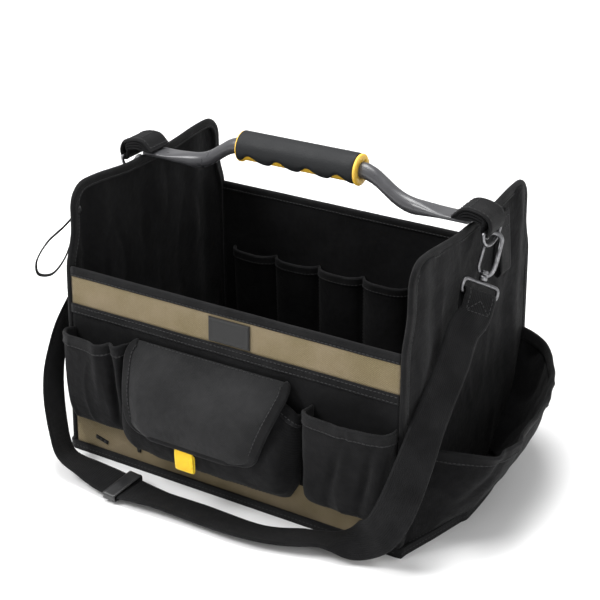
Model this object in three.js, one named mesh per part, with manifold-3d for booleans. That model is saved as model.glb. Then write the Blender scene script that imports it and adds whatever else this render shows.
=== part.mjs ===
// Open-top tool bag with tall end panels, outside pockets, a tubular handle and a shoulder strap.
// Millimetres, +Z up. The origin is the middle of the base's underside, and the front faces -Y.
import * as THREE from "three";
import Module from "manifold-3d";
import { mergeVertices } from "three/addons/utils/BufferGeometryUtils.js";

const wasm = await Module();
wasm.setup();

// Driving dimensions: the body
const LENGTH = 406;
const DEPTH = 305;
const FRONT_HEIGHT = 214;
const END_HEIGHT = 295;
const END_CORNER = 20;
const END_TAPER = 10;
const EAR_RISE = 6;
const END_LEAN = 4;
const FRONT_LEAN = 6;
const END_DISH = 5;
const WALL = 2.6;
const BASE_THICKNESS = 3;
const GAP = 0.3;

// Driving dimensions: bindings and trim
const BINDING_HEIGHT = 4.6;
const BINDING_THICKNESS = 4.8;
const CORNER_PROUD = 2;
const BASE_BAND_HEIGHT = 10;
const BASE_BAND_THICKNESS = 3.2;
const SEAM_TOP = 0.827 * FRONT_HEIGHT;
const SEAM_HEIGHT = 10;
const SEAM_THICKNESS = 1.6;
const PATCH_WIDTH = 49;
const PATCH_HEIGHT = 27;
const PATCH_THICKNESS = 1.4;
const PATCH_OFFSET = 4.5;

// Driving dimensions: pockets
const CLOTH = 2;
const LEFT_POCKET_WIDTH = 76;
const LEFT_POCKET_FOOT = 0.2 * FRONT_HEIGHT;
const RIGHT_POCKET_WIDTH = 94;
const RIGHT_POCKET_FOOT = 0.15 * FRONT_HEIGHT;
const SIDE_POCKET_HEIGHT = 0.515 * FRONT_HEIGHT;
const SIDE_POCKET_BULGE = 25;
const CENTER_POCKET_WIDTH = 206;
const CENTER_POCKET_FOOT = 0.13 * FRONT_HEIGHT;
const CENTER_POCKET_HEIGHT = 0.533 * FRONT_HEIGHT;
const CENTER_POCKET_BULGE = 38;
const CENTER_POCKET_OFFSET = -12.5;
const FLAP_TOP = 0.738 * FRONT_HEIGHT;
const FLAP_THICKNESS = 3;
const FLAP_TOP_WIDTH = 198;
const FLAP_FOOT_WIDTH = 150;
const FLAP_DROP = 0.383 * FRONT_HEIGHT;
const FLAP_REACH = 46;
const FLAP_CORNER = 14;
const FLAP_OFFSET = -17;
const TAB_WIDTH = 22;
const TAB_LENGTH = 38;
const TAB_THICKNESS = 1.8;
const TAB_OFFSET = -24;
const END_POCKET_BULGE = 77;
const END_POCKET_FRONT = 98;
const END_POCKET_REAR = 122;
const INNER_POCKET_FOOT = 14;
const INNER_POCKET_HEIGHT = 122;
const INNER_POCKET_BULGE = 15;
const INNER_POCKET_CELLS = 6;
const INNER_POCKET_SIDE = 14;

// Driving dimensions: handle
const TUBE_RADIUS = 8.6;
const HANDLE_RISE = 27;
const PLATE_WIDTH = 25;
const PLATE_THICKNESS = 5;
const PLATE_SETBACK = 5;
const GRIP_LENGTH = 143;
const GRIP_RADIUS = 16.5;
const GRIP_COVER = 2.4;
const GRIP_FLANGE = 3;
const GRIP_GROOVES = 4;

// Driving dimensions: strap and hardware
const STRAP_WIDTH = 38;
const STRAP_THICKNESS = 2.4;
const ANCHOR_WIDTH = 36;
const ANCHOR_THICKNESS = 3;
const ANCHOR_RISE = 11;
const RING_WIRE = 1.8;
const RING_WIDTH = 42;
const RING_DROP = 17;
const RING_CLEARANCE = 16;
const HOOK_OFFSET = 10;
const HOOK_WIRE = 2.3;
const HOOK_BOW = 7.6;
const HOOK_LENGTH = 46;
const HOOK_TILT = THREE.MathUtils.degToRad(33);
const HOOK_TURN = THREE.MathUtils.degToRad(62);
const EYE_TURN = THREE.MathUtils.degToRad(33);
const GATE_RADIUS = 1.7;
const NECK_RADIUS = 4.4;
const NECK_HEIGHT = 5;
const EYE_WIRE = 1.9;
const EYE_HEIGHT = 13;
const SLIDER_THICKNESS = 2.4;
const SLIDER_LENGTH = 16;
const TAPE_LOOP_WIDTH = 25;
const TAPE_LOOP_THICKNESS = 2;
const TAPE_LOOP_TOP = END_HEIGHT - 5;
const TAPE_LOOP_LENGTH = 68;
const TAPE_LOOP_OFFSET = 62;
const ROLL_STRAP_WIDTH = 7;
const ROLL_STRAP_THICKNESS = 1.6;
const ROLL_CLIP_RADIUS = 5;

const BLACK = { color: 0x232323, roughness: 0.9, metalness: 0 };
const BLACK_TRIM = { color: 0x151515, roughness: 0.8, metalness: 0 };
const KHAKI = { color: 0xa08c6c, roughness: 0.92, metalness: 0 };
const YELLOW = { color: 0xf2c12e, roughness: 0.7, metalness: 0 };
const RUBBER = { color: 0x3a3a3e, roughness: 0.75, metalness: 0 };
const STEEL = { color: 0x55565a, roughness: 0.4, metalness: 0.8 };
const CHROME = { color: 0x9a9ca0, roughness: 0.3, metalness: 1 };

const bag = new THREE.Group();

function add(name, geometry, finish, parent = bag) {
  const mesh = new THREE.Mesh(geometry, new THREE.MeshStandardMaterial(finish));
  mesh.name = name;
  parent.add(mesh);
  return mesh;
}

// Distance of the outer face of a front or back wall from the middle, at a height
const frontFace = (z) => DEPTH / 2 - (FRONT_LEAN * z) / FRONT_HEIGHT;

// Distance of the outer face of an end panel from the middle, at a height
const endFace = (z) => LENGTH / 2 - (END_LEAN * z) / FRONT_HEIGHT;

// The wall line at the mid depth of the vertical corner bindings
const cornerLine = (z) => endFace(z) - BINDING_THICKNESS - GAP;

function geometryFrom(points, index) {
  const geometry = new THREE.BufferGeometry();
  geometry.setAttribute("position", new THREE.Float32BufferAttribute(points.flat(), 3));
  let volume = 0;
  for (let i = 0; i < index.length; i += 3) {
    const [a, b, c] = [0, 1, 2].map((k) => new THREE.Vector3(...points[index[i + k]]));
    volume += a.dot(b.cross(c));
  }
  geometry.setIndex(volume > 0 ? index : index.reverse());
  geometry.computeVertexNormals();
  return geometry;
}

// Closes two matching grids of points, an outer and an inner one, into one solid sheet
function sheet(outer, inner) {
  const rows = outer.length;
  const cols = outer[0].length;
  const points = [...outer.flat(), ...inner.flat()];
  const at = (side, r, c) => (side * rows + r) * cols + c;
  const index = [];
  const quad = (a, b, c, d) => index.push(a, b, c, a, c, d);
  for (let r = 0; r < rows - 1; r += 1) {
    for (let c = 0; c < cols - 1; c += 1) {
      quad(at(0, r, c), at(0, r, c + 1), at(0, r + 1, c + 1), at(0, r + 1, c));
      quad(at(1, r, c), at(1, r + 1, c), at(1, r + 1, c + 1), at(1, r, c + 1));
    }
    quad(at(0, r, 0), at(0, r + 1, 0), at(1, r + 1, 0), at(1, r, 0));
    quad(at(0, r, cols - 1), at(1, r, cols - 1), at(1, r + 1, cols - 1), at(0, r + 1, cols - 1));
  }
  for (let c = 0; c < cols - 1; c += 1) {
    quad(at(0, 0, c), at(1, 0, c), at(1, 0, c + 1), at(0, 0, c + 1));
    quad(at(0, rows - 1, c), at(0, rows - 1, c + 1), at(1, rows - 1, c + 1), at(1, rows - 1, c));
  }
  return geometryFrom(points, index);
}

// Joins rings of matching points into a solid, closed by end caps or back onto its own start
function loft(rings, closed = false) {
  const sides = rings[0].length;
  const points = rings.flat();
  const index = [];
  const last = closed ? rings.length : rings.length - 1;
  for (let r = 0; r < last; r += 1) {
    const next = (r + 1) % rings.length;
    for (let s = 0; s < sides; s += 1) {
      const t = (s + 1) % sides;
      index.push(r * sides + s, r * sides + t, next * sides + t);
      index.push(r * sides + s, next * sides + t, next * sides + s);
    }
  }
  if (!closed) {
    const end = (rings.length - 1) * sides;
    for (let s = 1; s < sides - 1; s += 1) {
      index.push(0, s + 1, s);
      index.push(end, end + s, end + s + 1);
    }
  }
  return geometryFrom(points, index);
}

// Moves each point of a line sideways by a distance; left of its direction is positive
function offsetLine(line, distance, closed = false) {
  const count = line.length;
  return line.map((point, i) => {
    const before = line[closed ? (i + count - 1) % count : Math.max(i - 1, 0)];
    const after = line[closed ? (i + 1) % count : Math.min(i + 1, count - 1)];
    const into = new THREE.Vector2(point[0] - before[0], point[1] - before[1]).normalize();
    const away = new THREE.Vector2(after[0] - point[0], after[1] - point[1]).normalize();
    if (into.length() === 0) into.copy(away);
    if (away.length() === 0) away.copy(into);
    const normal = new THREE.Vector2(-into.y - away.y, into.x + away.x).normalize();
    const miter = distance / Math.max(normal.dot(new THREE.Vector2(-away.y, away.x)), 0.6);
    return [point[0] + normal.x * miter, point[1] + normal.y * miter];
  });
}

// A strip of webbing through rows of { at, wide }: its middle, and the direction of its width
function webbing(rows, width, thickness, steps) {
  const route = new THREE.CatmullRomCurve3(rows.map((row) => new THREE.Vector3(...row.at)), false, "centripetal");
  const across = new THREE.CatmullRomCurve3(rows.map((row) => new THREE.Vector3(...row.wide)), false, "centripetal");
  const rings = [];
  for (let i = 0; i <= steps; i += 1) {
    const share = i / steps;
    const middle = route.getPoint(share);
    const along = route.getTangent(share);
    const wide = across.getPoint(share);
    wide.addScaledVector(along, -wide.dot(along)).normalize();
    const out = new THREE.Vector3().crossVectors(along, wide);
    const corner = (w, t) => middle.clone().addScaledVector(wide, w).addScaledVector(out, t).toArray();
    rings.push([
      corner(-width / 2, -thickness / 2),
      corner(width / 2, -thickness / 2),
      corner(width / 2, thickness / 2),
      corner(-width / 2, thickness / 2),
    ]);
  }
  return loft(rings);
}

// A round wire bent in the local YZ plane, as an open bar or a closed loop
function wireInPlane(line, radius, sides, closed) {
  const lines = offsetLine(line, 1, closed);
  const rings = line.map(([y, z], i) => {
    const out = [lines[i][0] - y, lines[i][1] - z];
    return Array.from({ length: sides }, (unused, s) => {
      const turn = (2 * Math.PI * s) / sides;
      const side = Math.cos(turn) * radius;
      return [Math.sin(turn) * radius, y + out[0] * side, z + out[1] * side];
    });
  });
  return loft(rings, closed);
}

function toSolid(geometry) {
  const plain = geometry.clone();
  plain.deleteAttribute("normal");
  plain.deleteAttribute("uv");
  const merged = mergeVertices(plain, 1e-4);
  const vertProperties = new Float32Array(merged.attributes.position.array);
  const triVerts = new Uint32Array(merged.index.array);
  return new wasm.Manifold(new wasm.Mesh({ numProp: 3, vertProperties, triVerts }));
}

function joined(first, second) {
  const mesh = toSolid(first).add(toSolid(second)).getMesh();
  const geometry = new THREE.BufferGeometry();
  geometry.setAttribute("position", new THREE.Float32BufferAttribute(mesh.vertProperties, 3));
  geometry.setIndex(Array.from(mesh.triVerts));
  geometry.computeVertexNormals();
  return geometry;
}

// Outline of an end pocket at one height, as rows of y and distance from the end panel.
// Columns: height, share of the rim height; foot, corner, back and heel, shares of half the
// depth of the bag; reach, share of the pocket's bulge.
const END_POCKET_ROWS = [
  { height: 0, foot: -0.965, corner: -0.42, back: -0.1, heel: 0.42, reach: 0.36 },
  { height: 0.12, foot: -0.93, corner: -0.45, back: -0.1, heel: 0.5, reach: 0.48 },
  { height: 0.35, foot: -0.85, corner: -0.5, back: -0.1, heel: 0.7, reach: 0.67 },
  { height: 0.65, foot: -0.77, corner: -0.55, back: -0.08, heel: 0.85, reach: 0.87 },
  { height: 1, foot: -0.7, corner: -0.56, back: -0.06, heel: 0.95, reach: 1 },
];
const END_POCKET_BACK_STEPS = 9;

function endPocketLine(row) {
  const half = DEPTH / 2;
  const reach = row.reach * END_POCKET_BULGE;
  const line = [[row.foot * half, 0]];
  const corner = row.corner * half;
  const rounding = 0.08 * reach;
  line.push([row.foot * half * 0.5 + corner * 0.5, reach * 0.47]);
  line.push([corner - rounding * 0.5, reach - rounding * 1.6]);
  line.push([corner + rounding, reach - rounding * 0.3]);
  const middle = (corner + row.back * half) / 2;
  line.push([middle, reach]);
  const run = (row.heel - row.back) * half;
  for (let i = 0; i <= END_POCKET_BACK_STEPS; i += 1) {
    const turn = (Math.PI / 2) * (i / END_POCKET_BACK_STEPS);
    line.push([row.back * half + run * Math.sin(turn), reach * Math.cos(turn)]);
  }
  return line;
}

// Footprint of the bag: straight front and back, and ends that follow the end pockets' feet
function footprint() {
  const right = endPocketLine(END_POCKET_ROWS[0]).map(([y, reach]) => [LENGTH / 2 + reach, y]);
  right.unshift([LENGTH / 2, -DEPTH / 2]);
  right.push([LENGTH / 2, DEPTH / 2]);
  const left = right.map(([x, y]) => [-x, y]).reverse();
  return [...right, ...left];
}

function makeBase() {
  const outline = footprint();
  const shape = new THREE.Shape(outline.map(([x, y]) => new THREE.Vector2(x, y)));
  add("base_panel", new THREE.ExtrudeGeometry(shape, { depth: BASE_THICKNESS, bevelEnabled: false }), BLACK);
  const inner = offsetLine(outline, -GAP, true);
  const outer = offsetLine(outline, -GAP - BASE_BAND_THICKNESS, true);
  const rings = outline.map((unused, i) => [
    [...outer[i], 0],
    [...outer[i], BASE_BAND_HEIGHT],
    [...inner[i], BASE_BAND_HEIGHT],
    [...inner[i], 0],
  ]);
  add("base_binding", loft(rings, true), BLACK_TRIM);
}

function makeFrontAndBack() {
  const foot = BASE_THICKNESS + GAP;
  for (const [name, side] of [["front", -1], ["back", 1]]) {
    const wall = (inset) =>
      [foot, FRONT_HEIGHT].map((z) =>
        [-1, 1].map((end) => [end * cornerLine(z), side * (frontFace(z) - inset), z]));
    add(`${name}_panel`, sheet(wall(0), wall(WALL)), KHAKI);
    const top = FRONT_HEIGHT + GAP + BINDING_HEIGHT / 2;
    const reach = cornerLine(top) - GAP;
    const middle = side * (frontFace(top) - WALL / 2);
    const half = BINDING_THICKNESS / 2;
    const round = 0.45;
    const section = [
      [-half, -BINDING_HEIGHT / 2], [half, -BINDING_HEIGHT / 2], [half, BINDING_HEIGHT * 0.2],
      [half * round, BINDING_HEIGHT / 2], [-half * round, BINDING_HEIGHT / 2], [-half, BINDING_HEIGHT * 0.2],
    ];
    const rings = [-reach, reach].map((x) => section.map(([y, z]) => [x, middle + y, top + z]));
    add(`${name}_top_binding`, loft(rings), BLACK_TRIM);
  }
}

// How far an end panel is drawn in above its pocket, by the pull of the handle
function dish(y, z) {
  const low = END_POCKET_REAR + 10;
  if (z <= low || z >= END_HEIGHT - END_CORNER) return 0;
  const up = (z - low) / (END_HEIGHT - END_CORNER - low);
  return END_DISH * Math.sin(Math.PI * up) ** 2 * Math.cos((Math.PI * y) / DEPTH) ** 2;
}

// Half the depth of an end panel at a height, inside its corner binding
function endHalf(z) {
  const taper = THREE.MathUtils.smoothstep(z, FRONT_HEIGHT, 0.87 * END_HEIGHT);
  return frontFace(z) - BINDING_HEIGHT - GAP + CORNER_PROUD - END_TAPER * taper;
}

// How far the upper edge of an end panel rises towards its front and rear corners
function ear(y, z) {
  const up = THREE.MathUtils.clamp((z / END_HEIGHT - 0.8) / 0.2, 0, 1);
  return EAR_RISE * up * THREE.MathUtils.smoothstep(Math.abs(y), 0.1 * DEPTH, 0.35 * DEPTH);
}

// Height and half depth of the end panel's rows; the last ones go round the top corner
function endRows() {
  const levels = [
    BASE_THICKNESS + GAP, END_POCKET_FRONT, END_POCKET_REAR + 10,
    0.55 * END_HEIGHT, FRONT_HEIGHT, 0.8 * END_HEIGHT, 0.87 * END_HEIGHT,
  ];
  const rows = levels.map((z) => ({ z, half: endHalf(z) }));
  const low = END_HEIGHT - END_CORNER;
  const steps = 5;
  for (let i = 0; i <= steps; i += 1) {
    const turn = (Math.PI / 2) * (i / steps);
    rows.push({ z: low + END_CORNER * Math.sin(turn), half: endHalf(low) - END_CORNER * (1 - Math.cos(turn)) });
  }
  return rows;
}

function makeEnds() {
  const cols = 12;
  const rows = endRows();
  const across = (half, c) => half * ((2 * c) / cols - 1);
  for (const [name, side] of [["left", -1], ["right", 1]]) {
    const face = (inset) =>
      rows.map(({ z, half }) =>
        Array.from({ length: cols + 1 }, (unused, c) => {
          const y = across(half, c);
          return [side * (endFace(z) - dish(y, z) - inset), y, z + ear(y, z)];
        }));
    add(`${name}_end_panel`, sheet(face(0), face(WALL)), BLACK);
    const bandTop = BASE_BAND_HEIGHT + GAP;
    const rise = ({ z, half }) => [-half, Math.max(z, bandTop) + ear(half, z)];
    const front = rows.map(rise);
    const top = rows.at(-1);
    const crown = Array.from({ length: cols - 1 }, (unused, c) => {
      const y = across(top.half, c + 1);
      return [y, top.z + ear(y, top.z)];
    });
    const around = [...front, ...crown, ...front.map(([y, z]) => [-y, z]).reverse()];
    const inner = offsetLine(around, GAP);
    const outer = offsetLine(around, GAP + BINDING_HEIGHT);
    const rings = around.map((unused, i) => {
      const outX = (z) => side * endFace(z);
      const inX = (z) => side * (endFace(z) - BINDING_THICKNESS);
      const [yi, zi] = inner[i];
      const [yo, zo] = outer[i];
      return [[outX(zi), yi, zi], [outX(zo), yo, zo], [inX(zo), yo, zo], [inX(zi), yi, zi]];
    });
    add(`${name}_end_binding`, loft(rings), BLACK_TRIM);
  }
}

// A flat strip lying on the front or back wall
function wallStrip(side, centre, width, low, high, thickness) {
  const face = (lift) =>
    [low, high].map((z) =>
      [-1, 1].map((end) => [centre + (end * width) / 2, side * (frontFace(z) + GAP + lift), z]));
  return sheet(face(thickness), face(0));
}

function makeTrim() {
  const run = 2 * (cornerLine(SEAM_TOP) - GAP);
  const seamLow = SEAM_TOP - SEAM_HEIGHT;
  add("front_seam_binding", wallStrip(-1, 0, run, seamLow, SEAM_TOP, SEAM_THICKNESS), BLACK_TRIM);
  add("back_seam_binding", wallStrip(1, 0, run, seamLow, SEAM_TOP, SEAM_THICKNESS), BLACK_TRIM);
  const low = SEAM_TOP + 2;
  const patch = wallStrip(-1, PATCH_OFFSET, PATCH_WIDTH, low, low + PATCH_HEIGHT, PATCH_THICKNESS);
  add("label_patch", patch, BLACK_TRIM);
}

// Outline of a front pocket at one height: sides that stand out from the wall, a crowned front
function pocketLine(width, reach, creases) {
  const rounding = Math.min(0.35 * reach + 2, 0.2 * width);
  const half = width / 2;
  const line = [[-half, 0], [-half, Math.max(reach - rounding, 0.2 * reach)]];
  line.push([-half + 0.3 * rounding, reach - 0.3 * rounding]);
  const flat = half - rounding;
  const steps = 8;
  for (let i = 0; i <= steps; i += 1) {
    const share = (2 * i) / steps - 1;
    const crease = creases[i] ?? 0;
    line.push([flat * share, reach * (1 + 0.06 * (1 - share * share) - crease)]);
  }
  line.push([half - 0.3 * rounding, reach - 0.3 * rounding]);
  line.push([half, Math.max(reach - rounding, 0.2 * reach)], [half, 0]);
  return line;
}

function pocketSheet(rows, size) {
  const grids = [0, 1].map((inner) =>
    rows.map((row) => {
      const z = size.foot + row.height * size.height;
      const reach = Math.max(row.reach * size.bulge, CLOTH + GAP);
      const creases = (size.creases ?? []).map((crease) => crease * row.reach);
      const line = pocketLine(row.width * size.width - 2 * inner * CLOTH, reach - inner * CLOTH, creases);
      return line.map(([x, out]) => {
        const lift = Math.max(out, 0) + GAP;
        return [size.centre + (row.shift ?? 0) * size.width + x, -frontFace(z) - lift, z];
      });
    }));
  return sheet(grids[0], grids[1]);
}

// Columns: height, share of the pocket's height; width and shift, shares of its width;
// reach, share of its bulge
const SIDE_POCKET_ROWS = [
  { height: 0, width: 0.84, reach: 0.1 },
  { height: 0.05, width: 0.95, reach: 0.42 },
  { height: 0.18, width: 1, reach: 0.72 },
  { height: 0.5, width: 1, reach: 0.9 },
  { height: 0.85, width: 1, reach: 0.96 },
  { height: 1, width: 1, reach: 1 },
];
const CENTER_POCKET_ROWS = [
  { height: 0, width: 0.76, reach: 0.1, shift: 0.06 },
  { height: 0.06, width: 0.84, reach: 0.42, shift: 0.04 },
  { height: 0.2, width: 0.97, reach: 0.8, shift: 0.01 },
  { height: 0.5, width: 1, reach: 1, shift: 0 },
  { height: 0.75, width: 1, reach: 0.72, shift: 0 },
  { height: 1, width: 1, reach: 0.3, shift: 0 },
];

// The crease columns are shares of the pocket's bulge, from its left side to its right
const LEFT_CREASES = [0, 0, 0, 0.02, 0, 0.08, 0.42, 0.1, 0];
const RIGHT_CREASES = [0, 0.03, 0, 0.1, 0.22, 0.08, 0, 0, 0];

function makeFrontPockets() {
  const side = { height: SIDE_POCKET_HEIGHT, bulge: SIDE_POCKET_BULGE };
  const edge = (foot, width) => cornerLine(foot + SIDE_POCKET_HEIGHT) - GAP - 1 - width / 2;
  const left = pocketSheet(SIDE_POCKET_ROWS, {
    ...side,
    width: LEFT_POCKET_WIDTH,
    foot: LEFT_POCKET_FOOT,
    centre: -edge(LEFT_POCKET_FOOT, LEFT_POCKET_WIDTH),
    creases: LEFT_CREASES,
  });
  const right = pocketSheet(SIDE_POCKET_ROWS, {
    ...side,
    width: RIGHT_POCKET_WIDTH,
    foot: RIGHT_POCKET_FOOT,
    centre: edge(RIGHT_POCKET_FOOT, RIGHT_POCKET_WIDTH),
    creases: RIGHT_CREASES,
  });
  add("left_front_pocket", left, BLACK);
  add("right_front_pocket", right, BLACK);
  const center = pocketSheet(CENTER_POCKET_ROWS, {
    width: CENTER_POCKET_WIDTH,
    foot: CENTER_POCKET_FOOT,
    height: CENTER_POCKET_HEIGHT,
    bulge: CENTER_POCKET_BULGE,
    centre: CENTER_POCKET_OFFSET,
  });
  add("center_pocket", center, BLACK);
}

// Columns: drop, share of the flap's drop; reach, share of its reach beyond its hinge line
const FLAP_ROWS = [
  { drop: 0, reach: 0 },
  { drop: 0.08, reach: 0.2 },
  { drop: 0.22, reach: 0.47 },
  { drop: 0.42, reach: 0.75 },
  { drop: 0.64, reach: 0.93 },
  { drop: 0.85, reach: 1 },
];
const FLAP_CORNER_STEPS = 4;

function flapProfile() {
  const rows = FLAP_ROWS.map((row) => ({ ...row, trim: 0 }));
  const start = 1 - FLAP_CORNER / FLAP_DROP;
  for (let i = 1; i <= FLAP_CORNER_STEPS; i += 1) {
    const turn = (Math.PI / 2) * (i / FLAP_CORNER_STEPS);
    const drop = start + (1 - start) * Math.sin(turn);
    rows.push({ drop, reach: 1, trim: FLAP_CORNER * (1 - Math.cos(turn)) });
  }
  return rows;
}

function makeFlap() {
  const top = FLAP_TOP;
  const cols = 10;
  const rest = frontFace(top) + GAP + FLAP_THICKNESS;
  const profile = flapProfile();
  const side = profile.map((row) => [rest + row.reach * FLAP_REACH, top - row.drop * FLAP_DROP]);
  const inside = offsetLine(side, -FLAP_THICKNESS);
  inside[0] = [frontFace(top) + GAP, top];
  const grid = (line) =>
    line.map(([out, z], r) => {
      const row = profile[r];
      const half = THREE.MathUtils.lerp(FLAP_TOP_WIDTH, FLAP_FOOT_WIDTH, row.drop) / 2 - row.trim;
      return Array.from({ length: cols + 1 }, (unused, c) => {
        const share = (2 * c) / cols - 1;
        return [FLAP_OFFSET + half * share, -out, z];
      });
    });
  add("center_flap", sheet(grid(side), grid(inside)), BLACK);

  const foot = top - FLAP_DROP;
  const under = rest + FLAP_REACH - FLAP_THICKNESS - GAP;
  const tabTop = foot + 8;
  const tabLine = [[under, tabTop], [under, foot], [under - 1.5, tabTop - TAB_LENGTH]];
  const tabBack = tabLine.map(([out, z]) => [out - TAB_THICKNESS, z]);
  const tabGrid = (line) =>
    line.map(([out, z]) => [-1, 1].map((end) => [TAB_OFFSET + (end * TAB_WIDTH) / 2, -out, z]));
  add("flap_pull_tab", sheet(tabGrid(tabLine), tabGrid(tabBack)), YELLOW);
}

function makeEndPockets() {
  const low = BASE_BAND_HEIGHT + GAP;
  for (const [name, side] of [["left", -1], ["right", 1]]) {
    const grids = [0, 1].map((inner) =>
      END_POCKET_ROWS.map((row) => {
        const line = endPocketLine(row);
        const moved = inner ? offsetLine(line, -CLOTH) : line;
        return moved.map(([y, reach], i) => {
          const along = i / (line.length - 1);
          const rim = THREE.MathUtils.lerp(END_POCKET_FRONT, END_POCKET_REAR, along * along);
          const z = low + row.height * (rim - low);
          return [side * (endFace(z) + GAP + Math.max(reach, 0)), y, z];
        });
      }));
    add(`${name}_end_pocket`, sheet(grids[0], grids[1]), BLACK);
  }
}

// Rows of open pockets along the inside of the front and back walls, gathered into cells
const INNER_POCKET_ROWS = [
  { height: 0, reach: 0.2 },
  { height: 0.15, reach: 0.7 },
  { height: 1, reach: 1 },
];

function makeInnerPockets() {
  const stepsPerCell = 5;
  const run = 2 * (cornerLine(FRONT_HEIGHT) - INNER_POCKET_SIDE);
  const count = INNER_POCKET_CELLS * stepsPerCell;
  for (const [name, side] of [["front", -1], ["back", 1]]) {
    const grid = (inner) =>
      INNER_POCKET_ROWS.map((row) => {
        const z = INNER_POCKET_FOOT + row.height * INNER_POCKET_HEIGHT;
        const line = Array.from({ length: count + 1 }, (unused, i) => {
          const share = (i % stepsPerCell) / stepsPerCell;
          const bulge = row.reach * INNER_POCKET_BULGE * Math.sqrt(Math.sin(Math.PI * share));
          return [run * (i / count - 0.5), CLOTH + bulge];
        });
        const moved = inner ? line.map(([x, out]) => [x, out - CLOTH]) : line;
        return moved.map(([x, out]) => [x, side * (frontFace(z) - WALL - GAP - out), z]);
      });
    add(`${name}_inner_pockets`, sheet(grid(0), grid(1)), BLACK);
  }
}

// Half of the handle, from its middle outwards.
// Columns: along, share of the handle's half length; rise, share of its rise;
// flat, how far the round tube has become the flat end plate
const HANDLE_ROWS = [
  { along: 0, rise: 1, flat: 0 },
  { along: 0.375, rise: 1, flat: 0 },
  { along: 0.44, rise: 0.86, flat: 0 },
  { along: 0.5, rise: 0.58, flat: 0 },
  { along: 0.56, rise: 0.28, flat: 0 },
  { along: 0.62, rise: 0.08, flat: 0 },
  { along: 0.68, rise: 0, flat: 0.1 },
  { along: 0.75, rise: 0, flat: 0.45 },
  { along: 0.83, rise: 0, flat: 0.9 },
  { along: 0.9, rise: 0, flat: 1 },
  { along: 1, rise: 0, flat: 1 },
];

const edgeTop = END_HEIGHT + GAP + BINDING_HEIGHT;
const plateMiddle = edgeTop + GAP + PLATE_THICKNESS / 2;
const gripMiddle = plateMiddle + HANDLE_RISE;
const handleHalf = endFace(END_HEIGHT) - PLATE_SETBACK + 4;

function makeHandle() {
  const sides = 12;
  const half = HANDLE_ROWS.map((row) => ({ ...row, x: row.along * handleHalf }));
  const rows = [...half.slice(1).map((row) => ({ ...row, x: -row.x })).reverse(), ...half];
  const rings = rows.map((row) => {
    const wide = THREE.MathUtils.lerp(TUBE_RADIUS, PLATE_WIDTH / 2, row.flat);
    const tall = THREE.MathUtils.lerp(TUBE_RADIUS, PLATE_THICKNESS / 2, row.flat);
    const power = THREE.MathUtils.lerp(1, 0.35, row.flat);
    const z = plateMiddle + row.rise * HANDLE_RISE;
    return Array.from({ length: sides }, (unused, s) => {
      const turn = (2 * Math.PI * (s + 0.5)) / sides;
      const soft = (v) => Math.sign(v) * Math.abs(v) ** power;
      return [row.x, wide * soft(Math.cos(turn)), z + tall * soft(Math.sin(turn))];
    });
  });
  add("handle_tube", loft(rings), STEEL);
}

function makeGrip() {
  const bore = TUBE_RADIUS + GAP;
  const core = GRIP_RADIUS - GRIP_COVER;
  const end = GRIP_LENGTH / 2;
  const profile = [
    [bore, -end], [GRIP_RADIUS, -end], [GRIP_RADIUS, -end + GRIP_FLANGE], [core, -end + GRIP_FLANGE],
    [core, end - GRIP_FLANGE], [GRIP_RADIUS, end - GRIP_FLANGE], [GRIP_RADIUS, end], [bore, end], [bore, -end],
  ].map(([r, x]) => new THREE.Vector2(r, x));
  const lathe = new THREE.LatheGeometry(profile, 16);
  const plain = mergeVertices(new THREE.BufferGeometry().copy(lathe).deleteAttribute("normal").deleteAttribute("uv"));
  plain.rotateZ(-Math.PI / 2);
  const points = [];
  for (let i = 0; i < plain.attributes.position.count; i += 1) {
    points.push(new THREE.Vector3().fromBufferAttribute(plain.attributes.position, i).toArray());
  }
  const grip = add("grip_core", geometryFrom(points, Array.from(plain.index.array)), YELLOW);
  grip.position.z = gripMiddle;

  const length = GRIP_LENGTH - 2 * (GRIP_FLANGE + GAP);
  const stepsAlong = 4 * GRIP_GROOVES;
  const stepsRound = 12;
  const sheetAt = (radius) =>
    Array.from({ length: stepsAlong + 1 }, (unused, i) => {
      const x = length * (i / stepsAlong - 0.5);
      const wave = Math.cos(2 * Math.PI * GRIP_GROOVES * (i / stepsAlong));
      const open = THREE.MathUtils.degToRad(48 - 15 * wave);
      return Array.from({ length: stepsRound + 1 }, (unusedToo, s) => {
        const turn = -Math.PI / 2 + open + (2 * Math.PI - 2 * open) * (s / stepsRound);
        return [x, radius * Math.cos(turn), radius * Math.sin(turn)];
      });
    });
  const cover = add("grip_cover", sheet(sheetAt(GRIP_RADIUS), sheetAt(core + 3 * GAP)), RUBBER);
  cover.position.z = gripMiddle;
}

// Places of the strap's hardware at one end of the bag
const ringX = endFace(END_HEIGHT) + RING_CLEARANCE + 2;
const ringTop = edgeTop - 2;
const ringBow = (y) => RING_DROP * (1 - ((2 * y) / RING_WIDTH) ** 2) ** 0.4;
const hookTop = ringTop - ringBow(HOOK_OFFSET) + RING_WIRE + HOOK_WIRE + 6 * GAP;

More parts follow.
